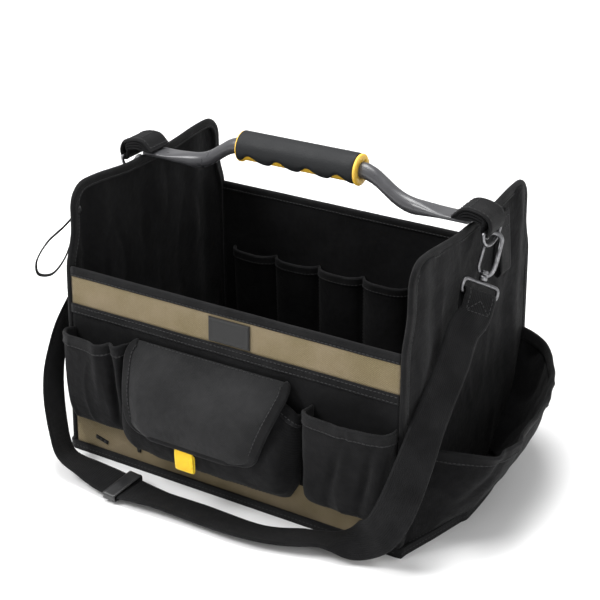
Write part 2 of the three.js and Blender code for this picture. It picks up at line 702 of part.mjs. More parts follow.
function makeAnchor(name, side) {
  const fold = RING_WIRE + GAP + ANCHOR_THICKNESS / 2;
  const over = plateMiddle + PLATE_THICKNESS / 2 + GAP + ANCHOR_THICKNESS / 2;
  const rows = [
    [handleHalf - 17, over], [handleHalf - 13, over + 0.35 * ANCHOR_RISE], [handleHalf - 6, over + 0.9 * ANCHOR_RISE],
    [handleHalf + 4, over + ANCHOR_RISE], [ringX + 1, over + 0.5 * ANCHOR_RISE], [ringX + fold + 1, ringTop + 6],
    [ringX + fold, ringTop], [ringX + fold * 0.7, ringTop - fold * 0.7], [ringX, ringTop - fold],
    [ringX - fold * 0.7, ringTop - fold * 0.7], [ringX - fold, ringTop], [ringX - fold - 0.3, ringTop + 6],
  ].map(([x, z]) => ({ at: [side * x, 0, z], wide: [0, 1, 0] }));
  add(`${name}_handle_anchor`, webbing(rows, ANCHOR_WIDTH, ANCHOR_THICKNESS, 24), BLACK_TRIM);
  const half = RING_WIDTH / 2;
  const line = [[-half, 0], [0, 0], [half, 0]];
  const steps = 12;
  for (let i = 1; i < steps; i += 1) {
    const y = half * Math.cos(Math.PI * (i / steps));
    line.push([y, -ringBow(y)]);
  }
  const ring = add(`${name}_ring`, wireInPlane(line, RING_WIRE, 8, true), CHROME);
  ring.position.set(side * ringX, 0, ringTop);
}

function makeHook(name, side) {
  const holder = new THREE.Group();
  holder.position.set(side * ringX, HOOK_OFFSET, hookTop);
  holder.rotation.set(-HOOK_TILT, 0, -side * HOOK_TURN);
  bag.add(holder);
  const bowMiddle = -HOOK_BOW;
  const seat = -HOOK_LENGTH;
  const line = [];
  const steps = 8;
  for (let i = 0; i <= steps; i += 1) {
    const turn = Math.PI * (i / steps) * 1.06 - 0.06 * Math.PI;
    line.push([-HOOK_BOW * Math.cos(turn), bowMiddle + HOOK_BOW * Math.sin(turn)]);
  }
  line.push([HOOK_BOW, seat + 11], [HOOK_BOW * 0.7, seat + 5], [HOOK_BOW * 0.2, seat + 2]);
  line.push([0, seat]);
  const bend = wireInPlane(line, HOOK_WIRE, 10, false);
  const post = new THREE.CylinderGeometry(NECK_RADIUS, NECK_RADIUS, NECK_HEIGHT, 12);
  post.rotateX(Math.PI / 2);
  post.translate(0, 0, seat);
  add(`${name}_snap_hook`, joined(bend, post), CHROME, holder);

  const gateLow = seat + NECK_HEIGHT / 2 + GAP + GATE_RADIUS;
  const gateHigh = line[0][1] - HOOK_WIRE - 4 * GAP;
  const rest = -HOOK_BOW;
  const bar = [[rest + 4, gateLow + 0.2], [rest + 1.2, gateLow + 2.2], [rest, gateLow + 6], [rest, gateHigh]];
  add(`${name}_hook_gate`, wireInPlane(bar, GATE_RADIUS, 8, false), CHROME, holder);

  const turned = new THREE.Group();
  turned.position.copy(holder.position);
  turned.rotation.set(-HOOK_TILT, 0, -side * EYE_TURN);
  bag.add(turned);
  const bossTop = seat - NECK_HEIGHT / 2 - GAP;
  const bar2 = bossTop - NECK_HEIGHT / 2;
  const half = STRAP_WIDTH / 2 + 1 + EYE_WIRE;
  const foot = bar2 - EYE_HEIGHT;
  const round = 4;
  const eyeLine = [
    [-half + round, bar2], [0, bar2], [half - round, bar2], [half - round * 0.3, bar2 - round * 0.3],
    [half, bar2 - round], [half, foot + round], [half - round * 0.3, foot + round * 0.3], [half - round, foot],
    [0, foot], [-half + round, foot], [-half + round * 0.3, foot + round * 0.3], [-half, foot + round],
    [-half, bar2 - round], [-half + round * 0.3, bar2 - round * 0.3],
  ];
  const boss = new THREE.CylinderGeometry(NECK_RADIUS, NECK_RADIUS, NECK_HEIGHT, 12);
  boss.rotateX(Math.PI / 2);
  boss.translate(0, 0, bar2);
  add(`${name}_strap_eye`, joined(wireInPlane(eyeLine, EYE_WIRE, 8, true), boss), CHROME, turned);
  return { turned, foot };
}

// The shoulder strap's way from the right eye, down past the front corner, along the floor in
// front of the bag, and up past the left corner to the left eye.
// Columns: at, the middle of the webbing; wide, the direction of its width
const STRAP_ROUTE = [
  { at: [214.5, -52, 210], wide: [-0.58, -0.65, 0.49] },
  { at: [215.5, -76, 185], wide: [-0.58, -0.64, 0.5] },
  { at: [216, -104, 161.6], wide: [-0.55, -0.65, 0.53] },
  { at: [217, -131, 140], wide: [-0.58, -0.63, 0.52] },
  { at: [218, -158, 116.9], wide: [-0.73, -0.5, 0.46] },
  { at: [214, -174, 89], wide: [-0.81, -0.38, 0.45] },
  { at: [206, -181, 63], wide: [-0.89, -0.13, 0.43] },
  { at: [193, -181, 40], wide: [-0.8, 0.1, 0.6] },
  { at: [171, -176, 22.4], wide: [-0.76, 0.5, 0.35] },
  { at: [149, -176, 14], wide: [-0.64, 0.74, -0.1] },
  { at: [129, -179, 10.8], wide: [-0.58, 0.78, -0.22] },
  { at: [109, -186, 9.5], wide: [-0.49, 0.86, -0.14] },
  { at: [89, -192, 7.4], wide: [-0.45, 0.87, -0.17] },
  { at: [68, -197, 6.6], wide: [-0.42, 0.88, -0.19] },
  { at: [44, -199, 6.2], wide: [-0.38, 0.91, -0.17] },
  { at: [20, -199, 6], wide: [-0.37, 0.92, -0.13] },
  { at: [-6, -199, 6.4], wide: [-0.35, 0.93, -0.12] },
  { at: [-31, -200, 7.2], wide: [-0.32, 0.93, -0.15] },
  { at: [-51, -201, 7.8], wide: [-0.28, 0.94, -0.17] },
  { at: [-73, -202, 8.4], wide: [-0.14, 0.98, -0.05] },
  { at: [-98, -202, 8.8], wide: [0.1, 0.98, 0.1] },
  { at: [-124, -199, 9.4], wide: [0.2, 0.97, 0.06] },
  { at: [-149, -196, 12.2], wide: [0.12, 0.98, -0.14] },
  { at: [-169, -195, 15.8], wide: [0.03, 0.96, -0.28] },
  { at: [-183, -192, 22], wide: [-0.05, 0.9, -0.42] },
  { at: [-192, -187, 33.3], wide: [-0.07, 0.89, -0.45] },
  { at: [-202, -179, 51.6], wide: [-0.05, 0.91, -0.42] },
  { at: [-210, -171, 71.6], wide: [-0.03, 0.91, -0.42] },
  { at: [-216, -161, 95.5], wide: [-0.06, 0.9, -0.44] },
  { at: [-219, -149, 118], wide: [-0.14, 0.87, -0.47] },
  { at: [-220, -136, 140], wide: [-0.22, 0.85, -0.48] },
  { at: [-219, -118, 162], wide: [-0.32, 0.82, -0.48] },
  { at: [-217, -96, 183], wide: [-0.42, 0.78, -0.47] },
  { at: [-215, -66, 203], wide: [-0.48, 0.74, -0.46] },
];
const STRAP_STEPS = 102;
const SLIDER_ROW = 20;

// Turns round the eye's lower bar, from the sewn end to the long ply that leads on to a point.
// Columns: out and down, in millimetres from the bar
function strapTurn(eye, onward) {
  const fold = EYE_WIRE + 5 * GAP + STRAP_THICKNESS / 2;
  const lap = STRAP_THICKNESS / 2 + GAP;
  const bar = eye.turned.localToWorld(new THREE.Vector3(0, 0, eye.foot));
  const wide = new THREE.Vector3(0, 1, 0).transformDirection(eye.turned.matrixWorld);
  const down = new THREE.Vector3(...onward).sub(bar);
  down.addScaledVector(wide, -down.dot(wide)).normalize();
  const out = new THREE.Vector3().crossVectors(down, wide);
  return [
    [-lap - 0.1, 30], [-lap - 0.1, 20], [-fold * 0.8, 9], [-fold, 0], [-fold * 0.7, -fold * 0.7], [0, -fold],
    [fold * 0.7, -fold * 0.7], [fold, 0], [fold * 0.8, 9], [lap + 0.1, 20],
  ].map(([side, drop]) => {
    const at = bar.clone().addScaledVector(out, side).addScaledVector(down, drop);
    return { at: at.toArray(), wide: wide.toArray() };
  });
}

function makeStrap(rightEye, leftEye) {
  const turn = (eye, onward, sign) =>
    strapTurn(eye, onward).map((row) => ({ at: row.at, wide: row.wide.map((v) => sign * v) }));
  const start = turn(rightEye, STRAP_ROUTE[0].at, -1);
  const finish = turn(leftEye, STRAP_ROUTE.at(-1).at, 1).reverse();
  const rows = [...start, ...STRAP_ROUTE, ...finish];
  add("shoulder_strap", webbing(rows, STRAP_WIDTH, STRAP_THICKNESS, STRAP_STEPS), BLACK_TRIM);

  const seat = STRAP_ROUTE[SLIDER_ROW];
  const wide = new THREE.Vector3(...seat.wide).normalize();
  const along = new THREE.Vector3(...STRAP_ROUTE[SLIDER_ROW + 1].at)
    .sub(new THREE.Vector3(...STRAP_ROUTE[SLIDER_ROW - 1].at)).normalize();
  const up = new THREE.Vector3().crossVectors(wide, along).normalize();
  const halfIn = STRAP_THICKNESS / 2 + 5 * GAP;
  const halfWide = STRAP_WIDTH / 2 + 1.2;
  const rings = [
    [halfWide, halfIn], [-halfWide, halfIn], [-halfWide, -halfIn], [halfWide, -halfIn],
  ].map(([w, u]) => {
    const grow = (v, by) => v + Math.sign(v) * by;
    const corner = (a, b, l) => new THREE.Vector3(...seat.at)
      .addScaledVector(wide, a).addScaledVector(up, b).addScaledVector(along, l).toArray();
    const half = SLIDER_LENGTH / 2;
    const outW = grow(w, SLIDER_THICKNESS);
    const outU = grow(u, u > 0 ? SLIDER_THICKNESS : SLIDER_THICKNESS / 2);
    return [corner(w, u, -half), corner(outW, outU, -half), corner(outW, outU, half), corner(w, u, half)];
  });
  add("strap_slider", loft(rings, true), BLACK_TRIM);
}

// A flat loop of webbing that hangs on the outside of the right end, behind the ring
function makeTapeLoop() {
  const x = endFace(TAPE_LOOP_TOP) + GAP + TAPE_LOOP_THICKNESS / 2;
  const low = TAPE_LOOP_TOP - TAPE_LOOP_LENGTH;
  const rows = [
    [x, TAPE_LOOP_TOP], [x + 0.6, TAPE_LOOP_TOP - 20], [x + 0.8, low + 14], [x + 1.6, low + 4], [x + 5, low],
    [x + 8.4, low + 4], [x + 8, low + 14], [x + 5, TAPE_LOOP_TOP - 20], [x + 2.6, TAPE_LOOP_TOP],
  ].map(([out, z]) => ({ at: [out, TAPE_LOOP_OFFSET, z], wide: [0, 1, 0] }));
  add("tape_measure_loop", webbing(rows, TAPE_LOOP_WIDTH, TAPE_LOOP_THICKNESS, 20), BLACK_TRIM);
}

// A narrow loop for rolls of tape, hung from a clip on the left end's front edge
function makeRollStrap() {
  const x = -endFace(END_HEIGHT - 20);
  const y = -endHalf(END_HEIGHT - 20);
  const clip = new THREE.CylinderGeometry(ROLL_CLIP_RADIUS, ROLL_CLIP_RADIUS, 4, 12);
  clip.rotateZ(Math.PI / 2);
  const knob = add("roll_strap_clip", clip, CHROME);
  knob.position.set(x - GAP - 2, y + 6, END_HEIGHT - 20);
  const rows = [
    [x - 3, y + 4, END_HEIGHT - 28], [x - 10, y - 4, END_HEIGHT - 38], [x - 26, y - 14, END_HEIGHT - 56],
    [x - 38, y - 20, END_HEIGHT - 80], [x - 36, y - 20, END_HEIGHT - 92], [x - 24, y - 14, END_HEIGHT - 92],
    [x - 12, y - 6, END_HEIGHT - 76], [x - 5, y + 2, END_HEIGHT - 52], [x - 3, y + 8, END_HEIGHT - 34],
  ].map((at) => ({ at, wide: [0.5, -0.8, 0.1] }));
  add("roll_strap", webbing(rows, ROLL_STRAP_WIDTH, ROLL_STRAP_THICKNESS, 24), BLACK_TRIM);
}

makeBase();
makeFrontAndBack();
makeEnds();
makeTrim();
makeFrontPockets();
makeFlap();
makeEndPockets();
makeInnerPockets();
makeHandle();
makeGrip();
makeAnchor("left", -1);
makeAnchor("right", 1);
const leftEye = makeHook("left", -1);
const rightEye = makeHook("right", 1);
bag.updateMatrixWorld(true);
makeStrap(rightEye, leftEye);
makeTapeLoop();
makeRollStrap();

export default bag;
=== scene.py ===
"""Looks of an open-top tool bag: cloth walls and pockets, a tube handle, metal fittings and a webbing strap.

Sizes are millimetres in the classes and metres in Blender. +Z is up and the front faces -Y.
"""
import logging
import math
from collections.abc import Callable, Sequence
from dataclasses import dataclass, field
from enum import Enum

import bpy
from mathutils import Matrix, Vector, noise

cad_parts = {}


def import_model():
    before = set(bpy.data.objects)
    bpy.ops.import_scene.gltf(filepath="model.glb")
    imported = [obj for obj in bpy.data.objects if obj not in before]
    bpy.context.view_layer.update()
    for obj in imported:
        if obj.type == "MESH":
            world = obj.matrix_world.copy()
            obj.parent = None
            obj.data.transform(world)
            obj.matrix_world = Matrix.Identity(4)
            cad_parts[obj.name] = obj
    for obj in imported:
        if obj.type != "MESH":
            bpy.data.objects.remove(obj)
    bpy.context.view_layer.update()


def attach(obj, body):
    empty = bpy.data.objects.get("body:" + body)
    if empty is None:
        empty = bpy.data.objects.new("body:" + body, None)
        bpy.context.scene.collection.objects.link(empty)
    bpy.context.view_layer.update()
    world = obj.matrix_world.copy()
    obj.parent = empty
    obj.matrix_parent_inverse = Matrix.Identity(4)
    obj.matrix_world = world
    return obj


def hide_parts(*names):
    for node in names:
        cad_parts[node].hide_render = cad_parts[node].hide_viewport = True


MM = 0.001
Grid = list[list[Vector]]
Line = list[Vector]
Colour = tuple[float, float, float]
Corners = list[tuple[float, float]]
Outline = Sequence[tuple[float, float]]
Faces = list[tuple[int, ...]]
Piece = bpy.types.Object
Socket = bpy.types.NodeSocket

RIGHTWARD, REARWARD, FORWARD, UP = Vector((1, 0, 0)), Vector((0, 1, 0)), Vector((0, -1, 0)), Vector((0, 0, 1))

log = logging.getLogger("tool_bag")


class Slot(Enum):
    """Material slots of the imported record."""

    BLACK_CLOTH = "black_cloth"
    BLACK_WEBBING = "black_webbing"
    KHAKI_CLOTH = "khaki_cloth"
    YELLOW_WEBBING = "yellow_webbing"
    PATCH_RUBBER = "patch_rubber"
    YELLOW_RUBBER = "yellow_rubber"
    GREY_RUBBER = "grey_rubber"
    GREY_STEEL = "grey_steel"
    HARDWARE_METAL = "hardware_metal"
    BLACK_PLASTIC = "black_plastic"


class Side(Enum):
    """Ends of the bag, by the sign of x."""

    LEFT = -1
    RIGHT = 1


class Wall(Enum):
    """Long walls of the bag, by the sign of y."""

    FRONT = -1
    BACK = 1


# Shared arithmetic

def blend_values(first: float, second: float, share: float) -> float:
    """Mix two numbers by a share from 0 to 1."""
    return first + (second - first) * share


def smoothstep(value: float, low: float, high: float) -> float:
    """Ease from 0 at low to 1 at high."""
    share = min(max((value - low) / (high - low), 0.0), 1.0)
    return share * share * (3 - 2 * share)


def sewn_ends(share: float, width: float) -> float:
    """Fade to 0 over a width at both ends of a sheet, where it is sewn."""
    return smoothstep(share, 0, width) * smoothstep(1 - share, 0, width)


def hill(value: float, centre: float, width: float) -> float:
    """A soft bump of height 1 round a centre."""
    return math.exp(-(((value - centre) / width) ** 2))


def table_value(rows: Sequence[tuple[float, ...]], at: float, column: int) -> float:
    """Read a column of a table between its rows, along a smooth curve.

    Args:
        rows: Table rows, sorted by their first number.
        at: Place along the first column.
        column: Column to read.

    Returns:
        The value at that place.
    """
    last = len(rows) - 1
    if at <= rows[0][0]:
        return rows[0][column]
    if at >= rows[last][0]:
        return rows[last][column]
    index = max(i for i in range(last) if rows[i][0] <= at)

    def slope(i: int) -> float:
        """Slope of the curve at one row."""
        before, after = rows[max(i - 1, 0)], rows[min(i + 1, last)]
        return (after[column] - before[column]) / (after[0] - before[0])

    low, high = rows[index], rows[index + 1]
    run = high[0] - low[0]
    t = (at - low[0]) / run
    return (
        low[column] * (2 * t**3 - 3 * t**2 + 1)
        + high[column] * (3 * t**2 - 2 * t**3)
        + slope(index) * run * (t**3 - 2 * t**2 + t)
        + slope(index + 1) * run * (t**3 - t**2)
    )


def softened(line: Line, rounds: int = 2) -> Line:
    """Cut the corners of an open line a few times, its ends kept."""
    for _ in range(rounds):
        cut = [line[0]]
        for first, second in zip(line, line[1:]):
            cut += [first.lerp(second, 0.25), first.lerp(second, 0.75)]
        line = [*cut, line[-1]]
    return line


def spaced_with(line: Line, values: Line, count: int) -> Line:
    """Read values that belong to a line's points at evenly spaced places on it.

    Args:
        line: Points of the line.
        values: One value for each point.
        count: How many values to return.

    Returns:
        The values along the line, with both ends kept.
    """
    reach = [0.0]
    for first, second in zip(line, line[1:]):
        reach.append(reach[-1] + (second - first).length)
    result: Line = []
    index = 0
    for i in range(count):
        at = reach[-1] * i / (count - 1)
        while index < len(line) - 2 and reach[index + 1] < at:
            index += 1
        run = max(reach[index + 1] - reach[index], 1e-9)
        result.append(values[index].lerp(values[index + 1], min((at - reach[index]) / run, 1.0)))
    return result


def spaced(line: Line, count: int) -> Line:
    """Put evenly spaced points on a line, with both ends kept."""
    return spaced_with(line, line, count)


def smooth_route(points: Sequence[Sequence[float]], count: int) -> Line:
    """Run a centripetal curve through points.

    Args:
        points: Points on the curve.
        count: How many evenly spaced points to return.

    Returns:
        Points along the curve.
    """
    knots = [Vector(p) for p in points]
    ends = [2 * knots[0] - knots[1], *knots, 2 * knots[-1] - knots[-2]]
    dense: Line = []
    for p0, p1, p2, p3 in zip(ends, ends[1:], ends[2:], ends[3:]):
        t1 = max((p1 - p0).length, 1e-6) ** 0.5
        t2 = t1 + max((p2 - p1).length, 1e-6) ** 0.5
        t3 = t2 + max((p3 - p2).length, 1e-6) ** 0.5
        for step in range(12):
            t = t1 + (t2 - t1) * step / 12
            a1 = p0 * ((t1 - t) / t1) + p1 * (t / t1)
            a2 = p1 * ((t2 - t) / (t2 - t1)) + p2 * ((t - t1) / (t2 - t1))
            a3 = p2 * ((t3 - t) / (t3 - t2)) + p3 * ((t - t2) / (t3 - t2))
            b1 = a1 * ((t2 - t) / t2) + a2 * (t / t2)
            b2 = a2 * ((t3 - t) / (t3 - t1)) + a3 * ((t - t1) / (t3 - t1))
            dense.append(b1 * ((t2 - t) / (t2 - t1)) + b2 * ((t - t1) / (t2 - t1)))
    dense.append(knots[-1])
    return spaced(dense, count)


def crumple(at: Vector, size: float, seed: float) -> float:
    """Soft uneven relief of cloth, from -1 to 1.

    Args:
        at: Place in millimetres.
        size: Rough distance between folds in millimetres.
        seed: Shifts the pattern, so pieces differ.

    Returns:
        The relief at that place.
    """
    spot = at / size + Vector((seed * 7.3, seed * 3.1, seed * 5.7))
    return noise.noise(spot) * 0.7 + noise.noise(spot * 2.1) * 0.35


def creases(at: Vector, size: float, stretch: Vector, seed: float) -> float:
    """Sharp little ridges that run along one direction.

    Args:
        at: Place in millimetres.
        size: Distance between ridges in millimetres.
        stretch: Factor on each axis; a small one draws the ridges out along it.
        seed: Shifts the pattern.

    Returns:
        Height of the ridge, from 0 to 1.
    """
    spot = Vector((at.x * stretch.x, at.y * stretch.y, at.z * stretch.z)) / size
    value = noise.noise(spot + Vector((seed * 4.1, seed * 9.7, seed)))
    return max(1 - abs(value) * 3.2, 0.0) ** 2


# Mesh making

def line_normals(line: Line, around: bool = False) -> Line:
    """Directions along a line at each of its points."""
    count = len(line)
    result: Line = []
    for i in range(count):
        before = line[(i - 1) % count] if around else line[max(i - 1, 0)]
        after = line[(i + 1) % count] if around else line[min(i + 1, count - 1)]
        result.append((after - before).normalized())
    return result


def new_piece(name: str, points: Line, faces: Faces, uvs: Corners,
              materials: Sequence[bpy.types.Material]) -> Piece:
    """Make one smooth mesh object from points in millimetres.

    Args:
        name: Name of the piece.
        points: Vertex places in millimetres.
        faces: Vertex indices of each face.
        uvs: One coordinate in metres for each vertex.
        materials: Materials of the piece, the outer one first.

    Returns:
        The new object, linked to the scene.
    """
    mesh = bpy.data.meshes.new(name)
    mesh.from_pydata([tuple(point * MM) for point in points], [], faces)
    layer = mesh.uv_layers.new(name="cloth")
    for loop in mesh.loops:
        layer.data[loop.index].uv = uvs[loop.vertex_index]
    mesh.polygons.foreach_set("use_smooth", [True] * len(mesh.polygons))
    for material in materials:
        mesh.materials.append(material)
    mesh.validate()
    mesh.update()
    piece = bpy.data.objects.new(name, mesh)
    bpy.context.scene.collection.objects.link(piece)
    return piece


def cloth_shell(name: str, grid: Grid, outward: Vector, finishes: Sequence["Finish"], thickness: float,
                *nodes: str) -> Piece:
    """Make a sheet of cloth from a grid of points and settle the piece.

    Args:
        name: Name of the piece.
        grid: Rows of points in millimetres, on the outer face.
        outward: Rough direction that the outer face looks to.
        finishes: Outer finish and, where it differs, the lining's.
        thickness: Thickness of the cloth in millimetres.
        nodes: CAD nodes that it replaces.

    Returns:
        The new object.
    """
    rows, cols = len(grid), len(grid[0])
    points = [point for row in grid for point in row]
    uvs: Corners = []
    climb = [0.0] * cols
    for r, row in enumerate(grid):
        run = [0.0]
        for first, second in zip(row, row[1:]):
            run.append(run[-1] + (second - first).length)
        if r:
            climb = [climb[c] + (row[c] - grid[r - 1][c]).length for c in range(cols)]
        uvs += [((run[c] - run[-1] / 2) * MM, climb[c] * MM) for c in range(cols)]
    faces = [
        (r * cols + c, r * cols + c + 1, (r + 1) * cols + c + 1, (r + 1) * cols + c)
        for r in range(rows - 1) for c in range(cols - 1)
    ]
    facing = 0.0
    for a, b, _, d in faces:
        facing += (points[b] - points[a]).cross(points[d] - points[a]).dot(outward)
    if facing < 0:
        faces = [tuple(reversed(face)) for face in faces]
    piece = new_piece(name, points, faces, uvs, [finish.material() for finish in finishes])
    body = piece.modifiers.new("thickness", "SOLIDIFY")
    body.thickness = thickness * MM
    body.offset = -1
    if len(finishes) > 1:
        body.material_offset = 1
    return settle(piece, finishes[0], *nodes)


def strip(name: str, path: Line, across: Line, section: Outline, finish: "Finish",
          *nodes: str, body: str = "root", around: bool = False,
          scale: Callable[[float], tuple[float, float]] | None = None) -> Piece:
    """Draw a closed section along a path and settle the piece.

    Args:
        name: Name of the piece.
        path: Middle of the strip in millimetres.
        across: Direction of the strip's width at each point.
        section: Corners of the section: along the width, and along the thickness.
        finish: Finish of the piece.
        nodes: CAD nodes that it replaces.
        body: Body that carries it.
        around: True where the path closes on itself.
        scale: Factors on the width and thickness at a share of the path.

    Returns:
        The new object.
    """
    sides, count = len(section), len(path)
    points: Line = []
    uvs: Corners = []
    run = 0.0
    girth = [0.0]
    for first, second in zip(section, [*section[1:], section[0]]):
        girth.append(girth[-1] + math.dist(first, second))
    for i, (middle, along, wide) in enumerate(zip(path, line_normals(path, around), across)):
        run += (middle - path[i - 1]).length if i else 0.0
        wide = (wide - along * wide.dot(along)).normalized()
        out = along.cross(wide)
        grow = scale(i / (count - 1)) if scale else (1.0, 1.0)
        points += [middle + wide * (w * grow[0]) + out * (t * grow[1]) for w, t in section]
        uvs += [(run * MM, girth[s] * MM) for s in range(sides)]
    faces: Faces = []
    for i in range(count if around else count - 1):
        low, high = i * sides, (i + 1) % count * sides
        faces += [(low + s, low + (s + 1) % sides, high + (s + 1) % sides, high + s) for s in range(sides)]
    if not around:
        faces += [tuple(range(sides))[::-1], tuple((count - 1) * sides + s for s in range(sides))]
    volume = 0.0
    for face in faces:
        for second, third in zip(face[1:], face[2:]):
            volume += points[face[0]].dot(points[second].cross(points[third]))
    if volume < 0:
        faces = [tuple(reversed(face)) for face in faces]
    return settle(new_piece(name, points, faces, uvs, [finish.material()]), finish, *nodes, body=body)


def ring_section(radius: float, sides: int) -> Corners:
    """Corners of a round section."""
    turns = [2 * math.pi * i / sides for i in range(sides)]
    return [(radius * math.cos(turn), radius * math.sin(turn)) for turn in turns]


def band_section(width: float, thickness: float, rim: float = 0.0, steps: int = 8) -> Corners:
    """Corners of flat webbing with rounded, slightly thicker edges.

    Args:
        width: Width in millimetres.
        thickness: Thickness in millimetres.
        rim: How far the woven edges stand proud of the middle.
        steps: Points across the width.

    Returns:
        The section's corners.
    """
    half, deep = width / 2, thickness / 2
    shares = [2 * i / steps - 1 for i in range(steps + 1)]

    def lift(share: float) -> float:
        """Half thickness at a share of the half width."""
        return deep + rim * hill(abs(share), 0.86, 0.09) - deep * 0.55 * smoothstep(abs(share), 0.93, 1.0)

    lower = [(half * share, -lift(share)) for share in shares]
    upper = [(half * share, lift(share)) for share in reversed(shares)]
    return [*lower, (half + deep * 0.25, 0.0), *upper, (-half - deep * 0.25, 0.0)]


def turned(name: str, profile: Outline, foot: Vector, axis: Vector, finish: "Finish",
           *nodes: str, sides: int = 32) -> Piece:
    """Turn a profile about an axis and settle the piece.

    Args:
        name: Name of the piece.
        profile: Closed outline: radius, and distance along the axis.
        foot: Start of the axis in millimetres.
        axis: Direction of the axis.
        finish: Finish of the piece.
        nodes: CAD nodes that it replaces.
        sides: Steps round the axis.

    Returns:
        The new object.
    """
    axis = axis.normalized()
    wide = axis.orthogonal().normalized()
    deep = axis.cross(wide)
    path = [foot + wide * math.cos(2 * math.pi * i / sides) + deep * math.sin(2 * math.pi * i / sides)
            for i in range(sides)]
    across = [(point - foot).normalized() for point in path]
    section = [(radius - 1, rise) for radius, rise in profile]
    return strip(name, path, across, section, finish, *nodes, around=True)


# Rings of one stitch: share of its length, then rise and thickness as shares of its radius
STITCH_RINGS = ((-0.5, -0.6, 0.35), (-0.36, 0.15, 0.9), (0, 0.45, 1), (0.36, 0.15, 0.9), (0.5, -0.6, 0.35))


@dataclass
class Thread:
    """Stitches of one sub-assembly, gathered into one mesh."""

    name: str
    pitch: float = 4.4
    length: float = 3.3
    radius: float = 0.5
    points: Line = field(default_factory=list)
    faces: Faces = field(default_factory=list)

    def sew(self, line: Line, lifts: Line) -> None:
        """Sew a row of stitches along a line.

        Args:
            line: Points of the seam, on the cloth.
            lifts: Direction off the cloth at each point.
        """
        total = sum((b - a).length for a, b in zip(line, line[1:]))
        steps = max(int(total / self.pitch), 1)
        fine = spaced(line, steps * 4 + 1)
        lift_line = spaced_with(line, lifts, steps * 4 + 1)
        for i in range(steps):
            start, end = fine[4 * i], fine[4 * i + 3]
            up = lift_line[4 * i + 1].normalized()
            along = (end - start).normalized()
            side = along.cross(up).normalized()
            middle = (start + end) / 2
            first = len(self.points)
            for share, sink, thick in STITCH_RINGS:
                spot = middle + along * (share * self.length) + up * (sink * self.radius)
                for turn in range(5):
                    angle = 2 * math.pi * turn / 5
                    reach = self.radius * thick
                    ring = side * (reach * math.cos(angle)) + up * (reach * math.sin(angle))
                    self.points.append(spot + ring)
            for ring in range(4):
                for turn in range(5):
                    a = first + ring * 5 + turn
                    b = first + ring * 5 + (turn + 1) % 5
                    self.faces.append((a, b, b + 5, a + 5))
            self.faces.append(tuple(first + turn for turn in range(4, -1, -1)))
            self.faces.append(tuple(first + 20 + turn for turn in range(5)))

    def build(self, finish: "Finish") -> Piece:
        """Make the gathered stitches one piece."""
        uvs = [(point.x * MM, point.z * MM) for point in self.points]
        return settle(new_piece(self.name, self.points, self.faces, uvs, [finish.material()]), finish)


def grid_lifts(grid: Grid, outward: Vector) -> list[Line]:
    """Directions off a sheet at each of its points, on the side that looks outward."""
    rows, cols = len(grid), len(grid[0])
    result: list[Line] = []
    total = Vector((0, 0, 0))
    for r in range(rows):
        line: Line = []
        for c in range(cols):
            along = grid[r][min(c + 1, cols - 1)] - grid[r][max(c - 1, 0)]
            up = grid[min(r + 1, rows - 1)][c] - grid[max(r - 1, 0)][c]
            line.append(along.cross(up).normalized())
            total += line[-1]
        result.append(line)
    if total.dot(outward) < 0:
        result = [[-lift for lift in line] for line in result]
    return result


def relieved(grid: Grid, outward: Vector, relief: Callable[[Vector, float, float], float]) -> Grid:
    """Move each point of a sheet along its normal.

    Args:
        grid: Rows of points.
        outward: Rough direction of the outer face.
        relief: Height from a point, its share of the columns and its share of the rows.

    Returns:
        The moved points.
    """
    lifts = grid_lifts(grid, outward)
    rows, cols = len(grid), len(grid[0])
    return [
        [grid[r][c] + lifts[r][c] * relief(grid[r][c], c / (cols - 1), r / (rows - 1)) for c in range(cols)]
        for r in range(rows)
    ]


# Shader effects

class Wiring:
    """Adds and links nodes in one node tree."""

    def __init__(self, tree: bpy.types.NodeTree) -> None:
        """Keep the tree."""
        self.tree = tree

    def add(self, kind: str, **settings: object) -> bpy.types.Node:
        """Add a node of a kind and set its attributes."""
        node = self.tree.nodes.new(kind)
        for key, value in settings.items():
            setattr(node, key, value)
        return node

    def join(self, source: Socket | float | Colour, target: Socket) -> None:
        """Link a socket to a target, or set the target to a plain value."""
        if isinstance(source, Socket):
            self.tree.links.new(source, target)
        elif isinstance(source, tuple) and target.type == "RGBA":
            target.default_value = (*source, 1.0)
        else:
            target.default_value = source

    def sum(self, operation: str, *terms: Socket | float) -> Socket:
        """Work out one number with a Math node."""
        node = self.add("ShaderNodeMath", operation=operation)
        for index, term in enumerate(terms):
            self.join(term, node.inputs[index])
        return node.outputs[0]

    def part(self, effect: bpy.types.Node, share: float) -> Socket:
        """Take a share of an effect's mask."""
        return self.sum("MULTIPLY", effect.outputs["Mask"], share)

    def mix(self, share: Socket | float, first: Socket | Colour,
            second: Socket | Colour) -> Socket:
        """Mix two colours."""
        node = self.add("ShaderNodeMix", data_type="RGBA")
        self.join(share, node.inputs[0])
        self.join(first, node.inputs[6])
        self.join(second, node.inputs[7])
        return node.outputs[2]

    def spread(self, value: Socket, low: float, high: float, to_low: float = 0.0,
               to_high: float = 1.0) -> Socket:
        """Stretch a range of values onto another, clamped."""
        node = self.add("ShaderNodeMapRange")
        for index, term in enumerate((value, low, high, to_low, to_high)):
            self.join(term, node.inputs[index])
        return node.outputs[0]


class Effect(Enum):
    """Node groups that more than one finish uses."""

    WEAVE = "plain_weave"
    RIBS = "webbing_ribs"
    CLOUD = "soft_cloud"
    WEAR = "edge_wear"
    GRAIN = "fine_grain"


